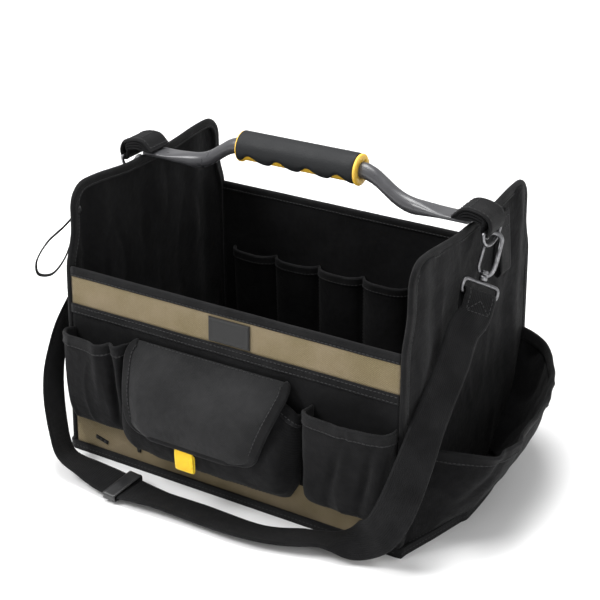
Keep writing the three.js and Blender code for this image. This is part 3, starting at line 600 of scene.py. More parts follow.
def effect_group(effect: Effect) -> bpy.types.NodeTree:
    """Return an effect's node group, made on its first use."""
    found = bpy.data.node_groups.get(effect.value)
    if found:
        return found
    tree = bpy.data.node_groups.new(effect.value, "ShaderNodeTree")
    face = tree.interface
    face.new_socket("Vector", in_out="INPUT", socket_type="NodeSocketVector")
    size = face.new_socket("Size", in_out="INPUT", socket_type="NodeSocketFloat")
    size.default_value = 0.001
    face.new_socket("Mask", in_out="OUTPUT", socket_type="NodeSocketFloat")
    face.new_socket("Height", in_out="OUTPUT", socket_type="NodeSocketFloat")
    wiring = Wiring(tree)
    entry = wiring.add("NodeGroupInput")
    leave = wiring.add("NodeGroupOutput")
    scaled = wiring.add("ShaderNodeVectorMath", operation="SCALE")
    wiring.join(entry.outputs[0], scaled.inputs[0])
    wiring.join(wiring.sum("DIVIDE", 1.0, entry.outputs[1]), scaled.inputs["Scale"])
    makers = {
        Effect.WEAVE: weave_effect,
        Effect.RIBS: rib_effect,
        Effect.CLOUD: cloud_effect,
        Effect.WEAR: wear_effect,
        Effect.GRAIN: grain_effect,
    }
    mask, height = makers[effect](wiring, scaled.outputs[0])
    wiring.join(mask, leave.inputs[0])
    wiring.join(height, leave.inputs[1])
    return tree


Pair = tuple[Socket, Socket]


def weave_effect(wiring: Wiring, place: Socket) -> Pair:
    """Crossing threads of a plain weave: the mask is light on the crowns."""
    parts = wiring.add("ShaderNodeSeparateXYZ")
    wiring.join(place, parts.inputs[0])
    warp = wiring.sum("SINE", wiring.sum("MULTIPLY", parts.outputs[0], math.pi))
    weft = wiring.sum("SINE", wiring.sum("MULTIPLY", parts.outputs[1], math.pi))
    check = wiring.sum("MULTIPLY", warp, weft)
    slub = wiring.add("ShaderNodeTexNoise", noise_dimensions="2D")
    slub.inputs["Scale"].default_value = 0.7
    wiring.join(place, slub.inputs["Vector"])
    crown = wiring.spread(check, -1.0, 1.0)
    uneven = wiring.sum("MULTIPLY", crown, wiring.spread(slub.outputs[0], 0.3, 0.7, 0.55, 1.0))
    return uneven, crown


def rib_effect(wiring: Wiring, place: Socket) -> Pair:
    """Ribs that run along webbing, crossed by its fine threads."""
    parts = wiring.add("ShaderNodeSeparateXYZ")
    wiring.join(place, parts.inputs[0])
    rib = wiring.sum("ABSOLUTE", wiring.sum("SINE", wiring.sum("MULTIPLY", parts.outputs[1], math.pi)))
    shift = wiring.sum("MULTIPLY", wiring.sum("FLOOR", parts.outputs[1]), math.pi)
    along = wiring.sum("MULTIPLY", parts.outputs[0], 2.4 * math.pi)
    tread = wiring.sum("SINE", wiring.sum("ADD", along, shift))
    height = wiring.sum("ADD", wiring.sum("MULTIPLY", rib, 0.7), wiring.spread(tread, -1.0, 1.0, 0.0, 0.3))
    return wiring.spread(height, 0.1, 1.0), height


def cloud_effect(wiring: Wiring, place: Socket) -> Pair:
    """Broad uneven patches, as of dust, fading and crumpling."""
    cloud = wiring.add("ShaderNodeTexNoise", noise_dimensions="3D")
    cloud.inputs["Scale"].default_value = 1.0
    cloud.inputs["Detail"].default_value = 5.0
    cloud.inputs["Roughness"].default_value = 0.6
    wiring.join(place, cloud.inputs["Vector"])
    return wiring.spread(cloud.outputs[0], 0.35, 0.7), cloud.outputs[0]


def wear_effect(wiring: Wiring, place: Socket) -> Pair:
    """Rubbing along edges that stand out, broken up by fine noise."""
    shape = wiring.add("ShaderNodeNewGeometry")
    edge = wiring.spread(shape.outputs["Pointiness"], 0.515, 0.58)
    rub = wiring.add("ShaderNodeTexNoise", noise_dimensions="3D")
    rub.inputs["Scale"].default_value = 1.0
    rub.inputs["Detail"].default_value = 4.0
    wiring.join(place, rub.inputs["Vector"])
    patchy = wiring.spread(rub.outputs[0], 0.4, 0.65)
    return wiring.sum("MULTIPLY", edge, patchy), rub.outputs[0]


def grain_effect(wiring: Wiring, place: Socket) -> Pair:
    """Small pebbled grain of moulded rubber and powder coat."""
    cells = wiring.add("ShaderNodeTexVoronoi", feature="SMOOTH_F1")
    cells.inputs["Scale"].default_value = 1.0
    wiring.join(place, cells.inputs["Vector"])
    pebble = wiring.spread(cells.outputs["Distance"], 0.1, 0.8)
    return pebble, pebble


class Finish:
    """A finish of the bag: a slot of the record and the material made for it."""

    name: str
    slot: Slot

    def dress(self, wiring: Wiring, shader: bpy.types.Node) -> None:
        """Wire the finish into its shader; each kind of finish does this its own way."""
        raise NotImplementedError

    def material(self) -> bpy.types.Material:
        """Return the finish's material, made on its first use."""
        found = bpy.data.materials.get(self.name)
        if found:
            return found
        material = bpy.data.materials.new(self.name)
        material.use_nodes = True
        tree = material.node_tree
        shader = next(node for node in tree.nodes if node.type == "BSDF_PRINCIPLED")
        self.dress(Wiring(tree), shader)
        return material

    def effect(self, wiring: Wiring, effect: Effect, size: float, by_cloth: bool) -> bpy.types.Node:
        """Place a shared effect.

        Args:
            wiring: Nodes of the material.
            effect: The effect to place.
            size: Its size in metres.
            by_cloth: True where the pattern follows the cloth, False where it fills space.

        Returns:
            The group's node.
        """
        node = wiring.add("ShaderNodeGroup")
        node.node_tree = effect_group(effect)
        node.inputs["Size"].default_value = size
        source = wiring.add("ShaderNodeTexCoord")
        wiring.join(source.outputs["UV" if by_cloth else "Object"], node.inputs["Vector"])
        return node

    def bumped(self, wiring: Wiring, shader: bpy.types.Node,
               layers: Sequence[tuple[Socket, float, float]]) -> None:
        """Stack bumps onto a shader.

        Args:
            wiring: Nodes of the material.
            shader: The shader to feed.
            layers: Height, strength and depth in metres of each bump.
        """
        normal = None
        for height, strength, depth in layers:
            node = wiring.add("ShaderNodeBump")
            node.inputs["Strength"].default_value = strength
            node.inputs["Distance"].default_value = depth
            wiring.join(height, node.inputs["Height"])
            if normal:
                wiring.join(normal, node.inputs["Normal"])
            normal = node.outputs[0]
        wiring.join(normal, shader.inputs["Normal"])


@dataclass(frozen=True)
class ClothFinish(Finish):
    """Woven cloth: thread colours, weave size, fading, dust and small crumples."""

    name: str
    slot: Slot
    thread: Colour
    hollow: Colour
    faded: Colour
    pitch: float = 0.0011
    sheen: float = 0.25
    crumpled: float = 0.55

    def dress(self, wiring: Wiring, shader: bpy.types.Node) -> None:
        """Wire the cloth into its shader."""
        weave = self.effect(wiring, Effect.WEAVE, self.pitch, True)
        broad = self.effect(wiring, Effect.CLOUD, 0.055, False)
        small = self.effect(wiring, Effect.CLOUD, 0.007, False)
        wear = self.effect(wiring, Effect.WEAR, 0.004, False)
        thread = wiring.mix(weave.outputs["Mask"], self.hollow, self.thread)
        faded = wiring.mix(wiring.part(broad, 0.5), thread, self.faded)
        rubbed = wiring.mix(wiring.part(wear, 0.6), faded, self.faded)
        wiring.join(rubbed, shader.inputs["Base Color"])
        wiring.join(wiring.spread(small.outputs["Mask"], 0.0, 1.0, 0.96, 0.8), shader.inputs["Roughness"])
        shader.inputs["Sheen Weight"].default_value = self.sheen
        shader.inputs["Sheen Roughness"].default_value = 0.45
        shader.inputs["Specular IOR Level"].default_value = 0.14
        self.bumped(wiring, shader, [
            (broad.outputs["Height"], self.crumpled, 0.006),
            (small.outputs["Height"], self.crumpled, 0.0011),
            (weave.outputs["Height"], 0.5, 0.0004),
        ])


@dataclass(frozen=True)
class WebbingFinish(Finish):
    """Ribbed webbing and binding tape."""

    name: str
    slot: Slot
    crown: Colour
    groove: Colour
    rib: float = 0.0016
    sheen: float = 0.2

    def dress(self, wiring: Wiring, shader: bpy.types.Node) -> None:
        """Wire the webbing into its shader."""
        ribs = self.effect(wiring, Effect.RIBS, self.rib, True)
        broad = self.effect(wiring, Effect.CLOUD, 0.03, False)
        wear = self.effect(wiring, Effect.WEAR, 0.003, False)
        base = wiring.mix(ribs.outputs["Mask"], self.groove, self.crown)
        pale = tuple(min(part * 2.2 + 0.003, 1.0) for part in self.crown)
        rubbed = wiring.mix(wiring.part(wear, 0.5), base, pale)
        dusty = wiring.mix(wiring.part(broad, 0.25), rubbed, pale)
        wiring.join(dusty, shader.inputs["Base Color"])
        wiring.join(wiring.spread(broad.outputs["Mask"], 0.0, 1.0, 0.85, 0.65), shader.inputs["Roughness"])
        shader.inputs["Sheen Weight"].default_value = self.sheen
        shader.inputs["Sheen Roughness"].default_value = 0.4
        shader.inputs["Specular IOR Level"].default_value = 0.14
        self.bumped(wiring, shader, [(ribs.outputs["Height"], 0.7, 0.0006)])


@dataclass(frozen=True)
class MouldedFinish(Finish):
    """Rubber, plastic or powder coat with a fine grain."""

    name: str
    slot: Slot
    colour: Colour
    worn: Colour
    roughness: float
    grain: float = 0.0012
    relief: float = 0.25
    coat: float = 0.0
    shine: float = 0.5

    def dress(self, wiring: Wiring, shader: bpy.types.Node) -> None:
        """Wire the moulded surface into its shader."""
        grain = self.effect(wiring, Effect.GRAIN, self.grain, False)
        cloud = self.effect(wiring, Effect.CLOUD, 0.018, False)
        wear = self.effect(wiring, Effect.WEAR, 0.003, False)
        spotted = wiring.mix(wiring.part(cloud, 0.3), self.colour, self.worn)
        rubbed = wiring.mix(wiring.part(wear, 0.7), spotted, self.worn)
        wiring.join(rubbed, shader.inputs["Base Color"])
        low = self.roughness - 0.08
        wiring.join(wiring.spread(cloud.outputs["Mask"], 0.0, 1.0, low, self.roughness + 0.08),
                    shader.inputs["Roughness"])
        shader.inputs["Specular IOR Level"].default_value = self.shine
        shader.inputs["Coat Weight"].default_value = self.coat
        shader.inputs["Coat Roughness"].default_value = 0.35
        self.bumped(wiring, shader, [(grain.outputs["Height"], self.relief, 0.0003)])


@dataclass(frozen=True)
class MetalFinish(Finish):
    """Plated steel, slightly dull, with rubbed spots."""

    name: str
    slot: Slot
    colour: Colour
    tarnish: Colour
    roughness: float = 0.28

    def dress(self, wiring: Wiring, shader: bpy.types.Node) -> None:
        """Wire the metal into its shader."""
        cloud = self.effect(wiring, Effect.CLOUD, 0.006, False)
        fine = self.effect(wiring, Effect.CLOUD, 0.0012, False)
        wiring.join(wiring.mix(cloud.outputs["Mask"], self.colour, self.tarnish), shader.inputs["Base Color"])
        rough = wiring.spread(cloud.outputs["Mask"], 0.0, 1.0, self.roughness - 0.06, self.roughness + 0.14)
        wiring.join(rough, shader.inputs["Roughness"])
        shader.inputs["Metallic"].default_value = 1.0
        self.bumped(wiring, shader, [(fine.outputs["Height"], 0.12, 0.0002)])


BLACK_CLOTH = ClothFinish("black_pack_cloth", Slot.BLACK_CLOTH, (0.0054, 0.0054, 0.0059),
                          (0.0014, 0.0014, 0.0016), (0.0115, 0.0115, 0.0123), sheen=0.04)
# The flap's cloth is the black cloth painted lighter: a painted highlight for the light that falls on the
# flap's upward face.
FLAP_CLOTH_PAINTED_LIGHT = ClothFinish("flap_cloth", Slot.BLACK_CLOTH, (0.0195, 0.0198, 0.0204), (0.0065, 0.0066, 0.007),
                         (0.03, 0.03, 0.031), sheen=0.08)
LINING_CLOTH = ClothFinish("lining_cloth", Slot.BLACK_CLOTH, (0.006, 0.006, 0.0065),
                           (0.0018, 0.0018, 0.002), (0.011, 0.011, 0.012), sheen=0.04)
KHAKI_CLOTH = ClothFinish("khaki_pack_cloth", Slot.KHAKI_CLOTH, (0.26, 0.212, 0.118), (0.11, 0.086, 0.048),
                          (0.27, 0.215, 0.15), sheen=0.06)
BINDING = WebbingFinish("binding_tape", Slot.BLACK_WEBBING, (0.0065, 0.0065, 0.007),
                        (0.0016, 0.0016, 0.0018), rib=0.0013, sheen=0.05)
WEBBING = WebbingFinish("strap_webbing", Slot.BLACK_WEBBING, (0.0052, 0.0052, 0.0057),
                        (0.001, 0.001, 0.0012), rib=0.0021, sheen=0.04)
YELLOW_WEBBING = WebbingFinish("tab_webbing", Slot.YELLOW_WEBBING, (0.95, 0.56, 0.03), (0.7, 0.36, 0.01))
THREAD = MouldedFinish("black_thread", Slot.BLACK_WEBBING, (0.014, 0.014, 0.015), (0.026, 0.026, 0.027),
                       0.7, grain=0.0004)
PATCH = MouldedFinish("patch_rubber", Slot.PATCH_RUBBER, (0.004, 0.004, 0.0045), (0.0095, 0.0095, 0.01),
                      0.62, shine=0.12)
GRIP_YELLOW = MouldedFinish("grip_yellow_rubber", Slot.YELLOW_RUBBER, (0.86, 0.5, 0.03), (0.9, 0.6, 0.12),
                            0.5)
GRIP_GREY = MouldedFinish("grip_grey_rubber", Slot.GREY_RUBBER, (0.0095, 0.0102, 0.0112),
                          (0.021, 0.022, 0.024), 0.6, grain=0.0016, relief=0.45, shine=0.25)
TUBE_COAT = MouldedFinish("tube_powder_coat", Slot.GREY_STEEL, (0.045, 0.045, 0.049), (0.085, 0.085, 0.09),
                          0.34, grain=0.0007, relief=0.12, coat=0.25)
METAL = MetalFinish("plated_steel", Slot.HARDWARE_METAL, (0.27, 0.27, 0.28), (0.12, 0.12, 0.125), 0.34)
PLASTIC = MouldedFinish("slider_plastic", Slot.BLACK_PLASTIC, (0.014, 0.014, 0.015), (0.04, 0.04, 0.04),
                        0.38, grain=0.0008)


def settle(piece: Piece, finish: Finish, *nodes: str, body: str = "root") -> Piece:
    """Tie a piece to its body and the CAD nodes that it stands for.

    Args:
        piece: The finished piece.
        finish: Finish of the piece, which names its slot; not used.
        nodes: CAD nodes that it replaces.
        body: Body that carries it.

    Returns:
        The same piece.
    """
    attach(piece, body)
    if nodes:
        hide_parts(*nodes)
    log.info("%s: %d faces", piece.name, len(piece.data.polygons))
    return piece


# The bag's own shape

@dataclass(frozen=True)
class BagShape:
    """Main sizes of the bag and the lines that its pieces share."""

    length: float = 406.0
    depth: float = 305.0
    front_height: float = 214.0
    end_height: float = 295.0
    end_corner: float = 20.0
    end_taper: float = 10.0
    ear_rise: float = 6.0
    end_lean: float = 4.0
    front_lean: float = 6.0
    end_dish: float = 5.0
    wall: float = 2.6
    base: float = 3.0
    gap: float = 0.3
    binding_height: float = 4.6
    binding_thickness: float = 4.8
    base_band_height: float = 10.0
    end_pocket_rear: float = 122.0

    def front_face(self, z: float) -> float:
        """Distance of a long wall's outer face from the middle."""
        return self.depth / 2 - self.front_lean * z / self.front_height

    def end_face(self, z: float) -> float:
        """Distance of an end panel's outer face from the middle."""
        return self.length / 2 - self.end_lean * z / self.front_height

    def corner_line(self, z: float) -> float:
        """Half length of a long wall between the corner bindings."""
        return self.end_face(z) - self.binding_thickness - self.gap

    def dish(self, y: float, z: float) -> float:
        """How far the handle's pull draws an end panel in."""
        low = self.end_pocket_rear + 10
        high = self.end_height - self.end_corner
        if z <= low or z >= high:
            return 0.0
        up = (z - low) / (high - low)
        return self.end_dish * math.sin(math.pi * up) ** 2 * math.cos(math.pi * y / self.depth) ** 2

    def end_half(self, z: float) -> float:
        """Half depth of an end panel inside its binding."""
        taper = smoothstep(z, self.front_height, 0.87 * self.end_height)
        return self.front_face(z) - self.binding_height - self.gap + 2.0 - self.end_taper * taper

    def ear(self, y: float, z: float) -> float:
        """Rise of an end panel's upper edge towards its corners."""
        up = min(max((z / self.end_height - 0.8) / 0.2, 0.0), 1.0)
        return self.ear_rise * up * smoothstep(abs(y), 0.1 * self.depth, 0.35 * self.depth)

    def end_rows(self) -> Corners:
        """Heights and half depths of an end panel, up round its top corner."""
        low = self.end_height - self.end_corner
        foot = self.base + self.gap
        levels = [foot + (low - foot) * i / 54 for i in range(55)]
        rows = [(z, self.end_half(z)) for z in levels]
        for i in range(1, 13):
            turn = math.pi / 2 * i / 12
            rows.append((low + self.end_corner * math.sin(turn),
                         self.end_half(low) - self.end_corner * (1 - math.cos(turn))))
        return rows


SHAPE = BagShape()

# Rows of an end pocket: share of its height, then its foot, corner, back and heel as shares of
# half the bag's depth, and its reach as a share of its bulge
END_POCKET_ROWS = (
    (0.0, -0.965, -0.42, -0.1, 0.42, 0.36),
    (0.12, -0.93, -0.45, -0.1, 0.5, 0.48),
    (0.35, -0.85, -0.5, -0.1, 0.7, 0.67),
    (0.65, -0.77, -0.55, -0.08, 0.85, 0.87),
    (1.0, -0.7, -0.56, -0.06, 0.95, 1.0),
)


@dataclass
class EndPocket:
    """Open pocket of slack cloth on an end of the bag."""

    side: Side
    bulge: float = 77.0
    front: float = 98.0
    rear: float = 122.0
    cloth: float = 2.0

    def outline(self, share: float) -> Corners:
        """Outline at a share of the height: y, and distance from the end panel."""
        foot, corner, back, heel, reach = (table_value(END_POCKET_ROWS, share, c) for c in range(1, 6))
        half = SHAPE.depth / 2
        reach *= self.bulge
        rounding = 0.08 * reach
        corner *= half
        line = [
            (foot * half, 0.0),
            (foot * half * 0.5 + corner * 0.5, reach * 0.47),
            (corner - rounding * 0.5, reach - rounding * 1.6),
            (corner + rounding, reach - rounding * 0.3),
            ((corner + back * half) / 2, reach),
        ]
        run = (heel - back) * half
        for i in range(10):
            turn = math.pi / 2 * i / 9
            line.append((back * half + run * math.sin(turn), reach * math.cos(turn)))
        return line

    def grid(self) -> Grid:
        """Rows of points on the pocket's outer face, folds not yet in."""
        low = SHAPE.base_band_height - 4
        rows: Grid = []
        for r in range(46):
            share = r / 45
            line = spaced(softened([Vector((y, reach, 0)) for y, reach in self.outline(share)]), 90)
            row: Line = []
            for i, point in enumerate(line):
                along = i / 89
                rim = blend_values(self.front, self.rear, along * along)
                z = low + share * (rim - low)
                x = self.side.value * (SHAPE.end_face(z) + SHAPE.gap + max(point.y, 0.0))
                row.append(Vector((x, point.x, z)))
            rows.append(row)
        return rows

    def relief(self, at: Vector, across: float, up: float) -> float:
        """Folds and slack of the pocket's cloth."""
        held = sewn_ends(across, 0.05)
        slack = smoothstep(up, 0, 0.15)
        seed = 3.0 if self.side is Side.RIGHT else 8.0
        value = 2.8 * crumple(at, 44, seed) + 2.2 * creases(at, 40, Vector((1, 1, 0.35)), seed)
        value += 1.5 * hill(across, 0.34, 0.03) * smoothstep(up, 0.2, 0.9)
        value -= 4.0 * hill(across - 0.1 * up, 0.16, 0.025) * smoothstep(up, 0.2, 0.7)
        return value * held * slack - 0.6

    def build(self, thread: Thread) -> None:
        """Make the pocket's cloth and its hem, and sew them."""
        outward = Vector((self.side.value, 0, 0))
        prefix = self.side.name.lower()
        grid = relieved(self.grid(), outward, self.relief)
        cloth_shell(f"{prefix}_end_pocket_cloth", grid, outward, [BLACK_CLOTH], self.cloth,
                    f"{prefix}_end_pocket")
        lifts = grid_lifts(grid, outward)
        rim_hem(f"{prefix}_end_pocket_hem", grid, lifts, thread, 13.0)
        thread.sew(grid[2][3:-3], lifts[2][3:-3])


def rim_hem(name: str, grid: Grid, lifts: list[Line], thread: Thread, height: float) -> None:
    """Fold a tape over a pocket's rim and sew it down.

    Args:
        name: Name of the hem.
        grid: Outer face of the pocket, its last row at the rim.
        lifts: Directions off that face.
        thread: Stitches to add to.
        height: Height of the hem in millimetres.
    """
    rim, below = grid[-1], grid[-2]
    out = lifts[-2]
    down = [(low - high).normalized() for low, high in zip(below, rim)]
    path = [point + way * (height / 2 - 1.2) - off * 1.0 for point, way, off in zip(rim, down, out)]
    section = band_section(height, 3.9, 0.35)
    strip(name, path, down, section, BINDING)
    seam = [point + way * (height - 3.2) + off * 1.15 for point, way, off in zip(rim, down, out)]
    thread.sew(seam, out)


@dataclass
class FrontPocket:
    """One of the pockets on the front wall."""

    name: str
    node: str
    width: float
    foot: float
    height: float
    bulge: float
    centre: float
    rows: tuple[tuple[float, ...], ...]
    folds: Callable[[float, float], float]
    seed: float
    dip: float
    cloth: float = 2.0
    hem: float = 13.0

    def grid(self) -> Grid:
        """Rows of points on the pocket's outer face, folds not yet in."""
        rows: Grid = []
        for r in range(44):
            share = r / 43
            width = table_value(self.rows, share, 1) * self.width
            reach = max(table_value(self.rows, share, 2) * self.bulge, self.cloth + SHAPE.gap)
            shift = table_value(self.rows, share, 3) * self.width
            half = width / 2
            rounding = min(0.35 * reach + 2, 0.2 * width)
            line = [(-half, 0.0), (-half, max(reach - rounding, 0.2 * reach)),
                    (-half + 0.3 * rounding, reach - 0.3 * rounding)]
            flat = half - rounding
            for i in range(9):
                across = 2 * i / 8 - 1
                line.append((flat * across, reach * (1 + 0.06 * (1 - across * across))))
            line += [(half - 0.3 * rounding, reach - 0.3 * rounding),
                     (half, max(reach - rounding, 0.2 * reach)), (half, 0.0)]
            z = self.foot + share * self.height
            points = spaced(softened([Vector((x, out, 0)) for x, out in line]), 80)
            row: Line = []
            for i, point in enumerate(points):
                near = 1 - smoothstep(min(i, 79 - i) / 79, 0.0, 0.16)
                rim = z - self.dip * near * share**3
                out = SHAPE.front_face(rim) + SHAPE.gap + max(point.y, 0.0)
                row.append(Vector((self.centre + shift + point.x, -out, rim)))
            rows.append(row)
        return rows

    def relief(self, at: Vector, across: float, up: float) -> float:
        """Folds and slack of the pocket's cloth."""
        held = sewn_ends(across, 0.08)
        foot = smoothstep(up, 0, 0.12)
        value = 1.6 * crumple(at, 34, self.seed) + 1.3 * creases(at, 30, Vector((1, 1, 0.3)), self.seed)
        return (value + self.folds(across, up)) * held * foot

    def build(self, thread: Thread) -> None:
        """Make the pocket's cloth and hem, and sew them."""
        outward = FORWARD
        grid = relieved(self.grid(), outward, self.relief)
        cloth_shell(self.name, grid, outward, [BLACK_CLOTH], self.cloth, self.node)
        lifts = grid_lifts(grid, outward)
        rim_hem(f"{self.name}_hem", grid, lifts, thread, self.hem)
        thread.sew(grid[3][4:-4], lifts[3][4:-4])


SIDE_POCKET_ROWS = (
    (0.0, 0.84, 0.1, 0.0),
    (0.05, 0.95, 0.42, 0.0),
    (0.18, 1.0, 0.72, 0.0),
    (0.5, 1.0, 0.9, 0.0),
    (0.85, 1.0, 0.96, 0.0),
    (1.0, 1.0, 1.0, 0.0),
)
CENTER_POCKET_ROWS = (
    (0.0, 0.76, 0.1, 0.06),
    (0.06, 0.84, 0.42, 0.04),
    (0.2, 0.97, 0.8, 0.01),
    (0.5, 1.0, 1.0, 0.0),
    (0.75, 1.0, 0.72, 0.0),
    (1.0, 1.0, 0.3, 0.0),
)


def left_pocket_folds(across: float, up: float) -> float:
    """A pleat that runs down towards the left pocket's right side."""
    pleat = hill(across, 0.72 + 0.1 * (1 - up), 0.035)
    return -7.5 * pleat * smoothstep(up, 0.05, 0.4) + 3.0 * hill(across, 0.6, 0.05) * smoothstep(up, 0.2, 0.7)


def right_pocket_folds(across: float, up: float) -> float:
    """Broad folds that fall from the right pocket's rim to its foot."""
    first = hill(across, 0.32 + 0.22 * up, 0.045)
    second = hill(across, 0.62 + 0.16 * up, 0.04)
    falls = -4.2 * first * hill(up, 0.55, 0.4) - 5.0 * second * hill(up, 0.5, 0.35)
    return falls + 2.0 * hill(across, 0.5, 0.06)


def center_pocket_folds(across: float, up: float) -> float:
    """Slack and creases at the centre pocket's right side."""
    side = hill(across, 0.9, 0.04) * hill(up, 0.5, 0.35)
    return -4.0 * side - 2.5 * hill(across, 0.12, 0.05) * hill(up, 0.45, 0.3) + 1.2 * hill(up, 0.3, 0.12)


@dataclass
class FlapCover:
    """Flap of the centre pocket with a bound edge and a pull tab."""

    top: float = 158.0
    thickness: float = 3.0
    top_width: float = 198.0
    foot_width: float = 150.0
    drop: float = 82.0
    reach: float = 46.0
    corner: float = 14.0
    offset: float = -17.0
    tab_width: float = 22.0
    tab_length: float = 38.0
    tab_offset: float = -24.0
    profile: tuple[tuple[float, float], ...] = (
        (0.0, 0.0), (0.08, 0.2), (0.22, 0.47), (0.42, 0.75), (0.64, 0.93), (0.85, 1.0), (1.0, 1.0),
    )

    def face(self, across: float, drop: float) -> Vector:
        """Point of the flap's outer face.

        Args:
            across: Place from -1 at the left edge to 1 at the right one.
            drop: Share of the flap's drop.

        Returns:
            The point in millimetres.
        """
        rest = SHAPE.front_face(self.top) + SHAPE.gap + self.thickness
        out = rest + table_value(self.profile, drop, 1) * self.reach
        start = 1 - self.corner / self.drop
        round_off = 0.0
        if drop > start:
            turn = math.asin(min((drop - start) / (1 - start), 1.0))
            round_off = self.corner * (1 - math.cos(turn))
        upper = max(1 - drop * self.drop / self.corner, 0.0)
        round_off += 0.7 * self.corner * (1 - math.sqrt(1 - upper * upper))
        half = blend_values(self.top_width, self.foot_width, drop) / 2 - round_off
        tuck = 5.5 * smoothstep(abs(across), 0.72, 1.0) * smoothstep(drop, 0.05, 0.4)
        return Vector((self.offset + half * across, -(out - tuck), self.top - drop * self.drop))

    def relief(self, at: Vector, across: float, up: float) -> float:
        """Gentle waves of the flap's thick cloth."""
        held = smoothstep(up, 0, 0.12)
        return held * (0.8 * crumple(at, 60, 5.0) + 0.6 * hill(up, 0.5, 0.2) * hill(across, 0.45, 0.3))

    def build(self, thread: Thread) -> None:
        """Make the flap, its edge binding and its pull tab."""
        outward = FORWARD
        drops = [0.0, 0.004, 0.012, 0.025, 0.042, 0.063, 0.088, *[0.115 + i * 0.024 for i in range(35)]]
        start = 1 - self.corner / self.drop
        drops = [d for d in drops if d < start]
        drops += [start + (1 - start) * math.sin(math.pi / 2 * i / 12) for i in range(13)]
        grid = [[self.face(2 * c / 70 - 1, drop) for c in range(71)] for drop in drops]
        rows, cols = len(grid), len(grid[0])
        for r, row in enumerate(grid):
            for c, point in enumerate(row):
                row[c] = point + outward * self.relief(point, c / (cols - 1), r / (rows - 1))
        # The flap's outer cloth carries painted light: a lighter copy of the black cloth stands in for the
        # light on the flap.
        cloth_shell("center_flap_cloth", grid, outward, [FLAP_CLOTH_PAINTED_LIGHT, LINING_CLOTH], self.thickness,
                    "center_flap")
        lifts = grid_lifts(grid, outward)
        edge = [row[0] for row in grid] + grid[-1][1:-1] + [row[-1] for row in reversed(grid)]
        calm = [lifts[min(r, 24)] for r in range(rows)]
        lift = [row[8] for row in calm] + calm[-1][1:-1] + [row[-9] for row in reversed(calm)]
        centre = Vector((self.offset, 0, self.top - self.drop * 0.5))
        count = 150
        edge, lift = spaced(edge, count), spaced_with(edge, lift, count)
        inward: Line = []
        for point, off in zip(edge, lift):
            way = Vector((centre.x - point.x, 0, centre.z - point.z))
            inward.append((way - off * way.dot(off)).normalized())
        along = line_normals(edge)
        inward = [(off.cross(go) if off.cross(go).dot(way) > 0 else -off.cross(go)).normalized()
                  for off, go, way in zip(lift, along, inward)]
        path = [point + way * 3.6 - off * (self.thickness / 2) for point, way, off in zip(edge, inward, lift)]
        strip("center_flap_binding", path, inward, band_section(10.5, self.thickness + 2.4, 0.3), BINDING)
        seam = [point + way * 7.4 + off * 1.25 for point, way, off in zip(edge, inward, lift)]
        thread.sew(seam, lift)
        hinge = [point + lifts[2][i] * 0.3 for i, point in enumerate(grid[2])]
        thread.sew(hinge[6:-6], lifts[2][6:-6])
        self.build_tab(thread)

    def build_tab(self, thread: Thread) -> None:
        """Make the yellow tab that hangs under the flap."""
        foot = self.top - self.drop
        rest = SHAPE.front_face(self.top) + SHAPE.gap + self.thickness
        under = rest + self.reach - self.thickness - SHAPE.gap - 0.9
        low = foot + 8 - self.tab_length
        x = self.tab_offset
        route = smooth_route([
            (x, -under, foot + 8), (x, -under, foot), (x, -(under + 0.3), foot - 12),
            (x, -(under - 0.4), low + 6), (x, -(under - 1.2), low + 1.2), (x, -(under - 3.0), low + 0.6),
            (x, -(under - 3.6), low + 6), (x, -(under - 3.6), foot - 4),
        ], 48)
        across = [RIGHTWARD] * len(route)
        strip("flap_pull_tab_webbing", route, across, band_section(self.tab_width, 1.7, 0.15),
              YELLOW_WEBBING, "flap_pull_tab")


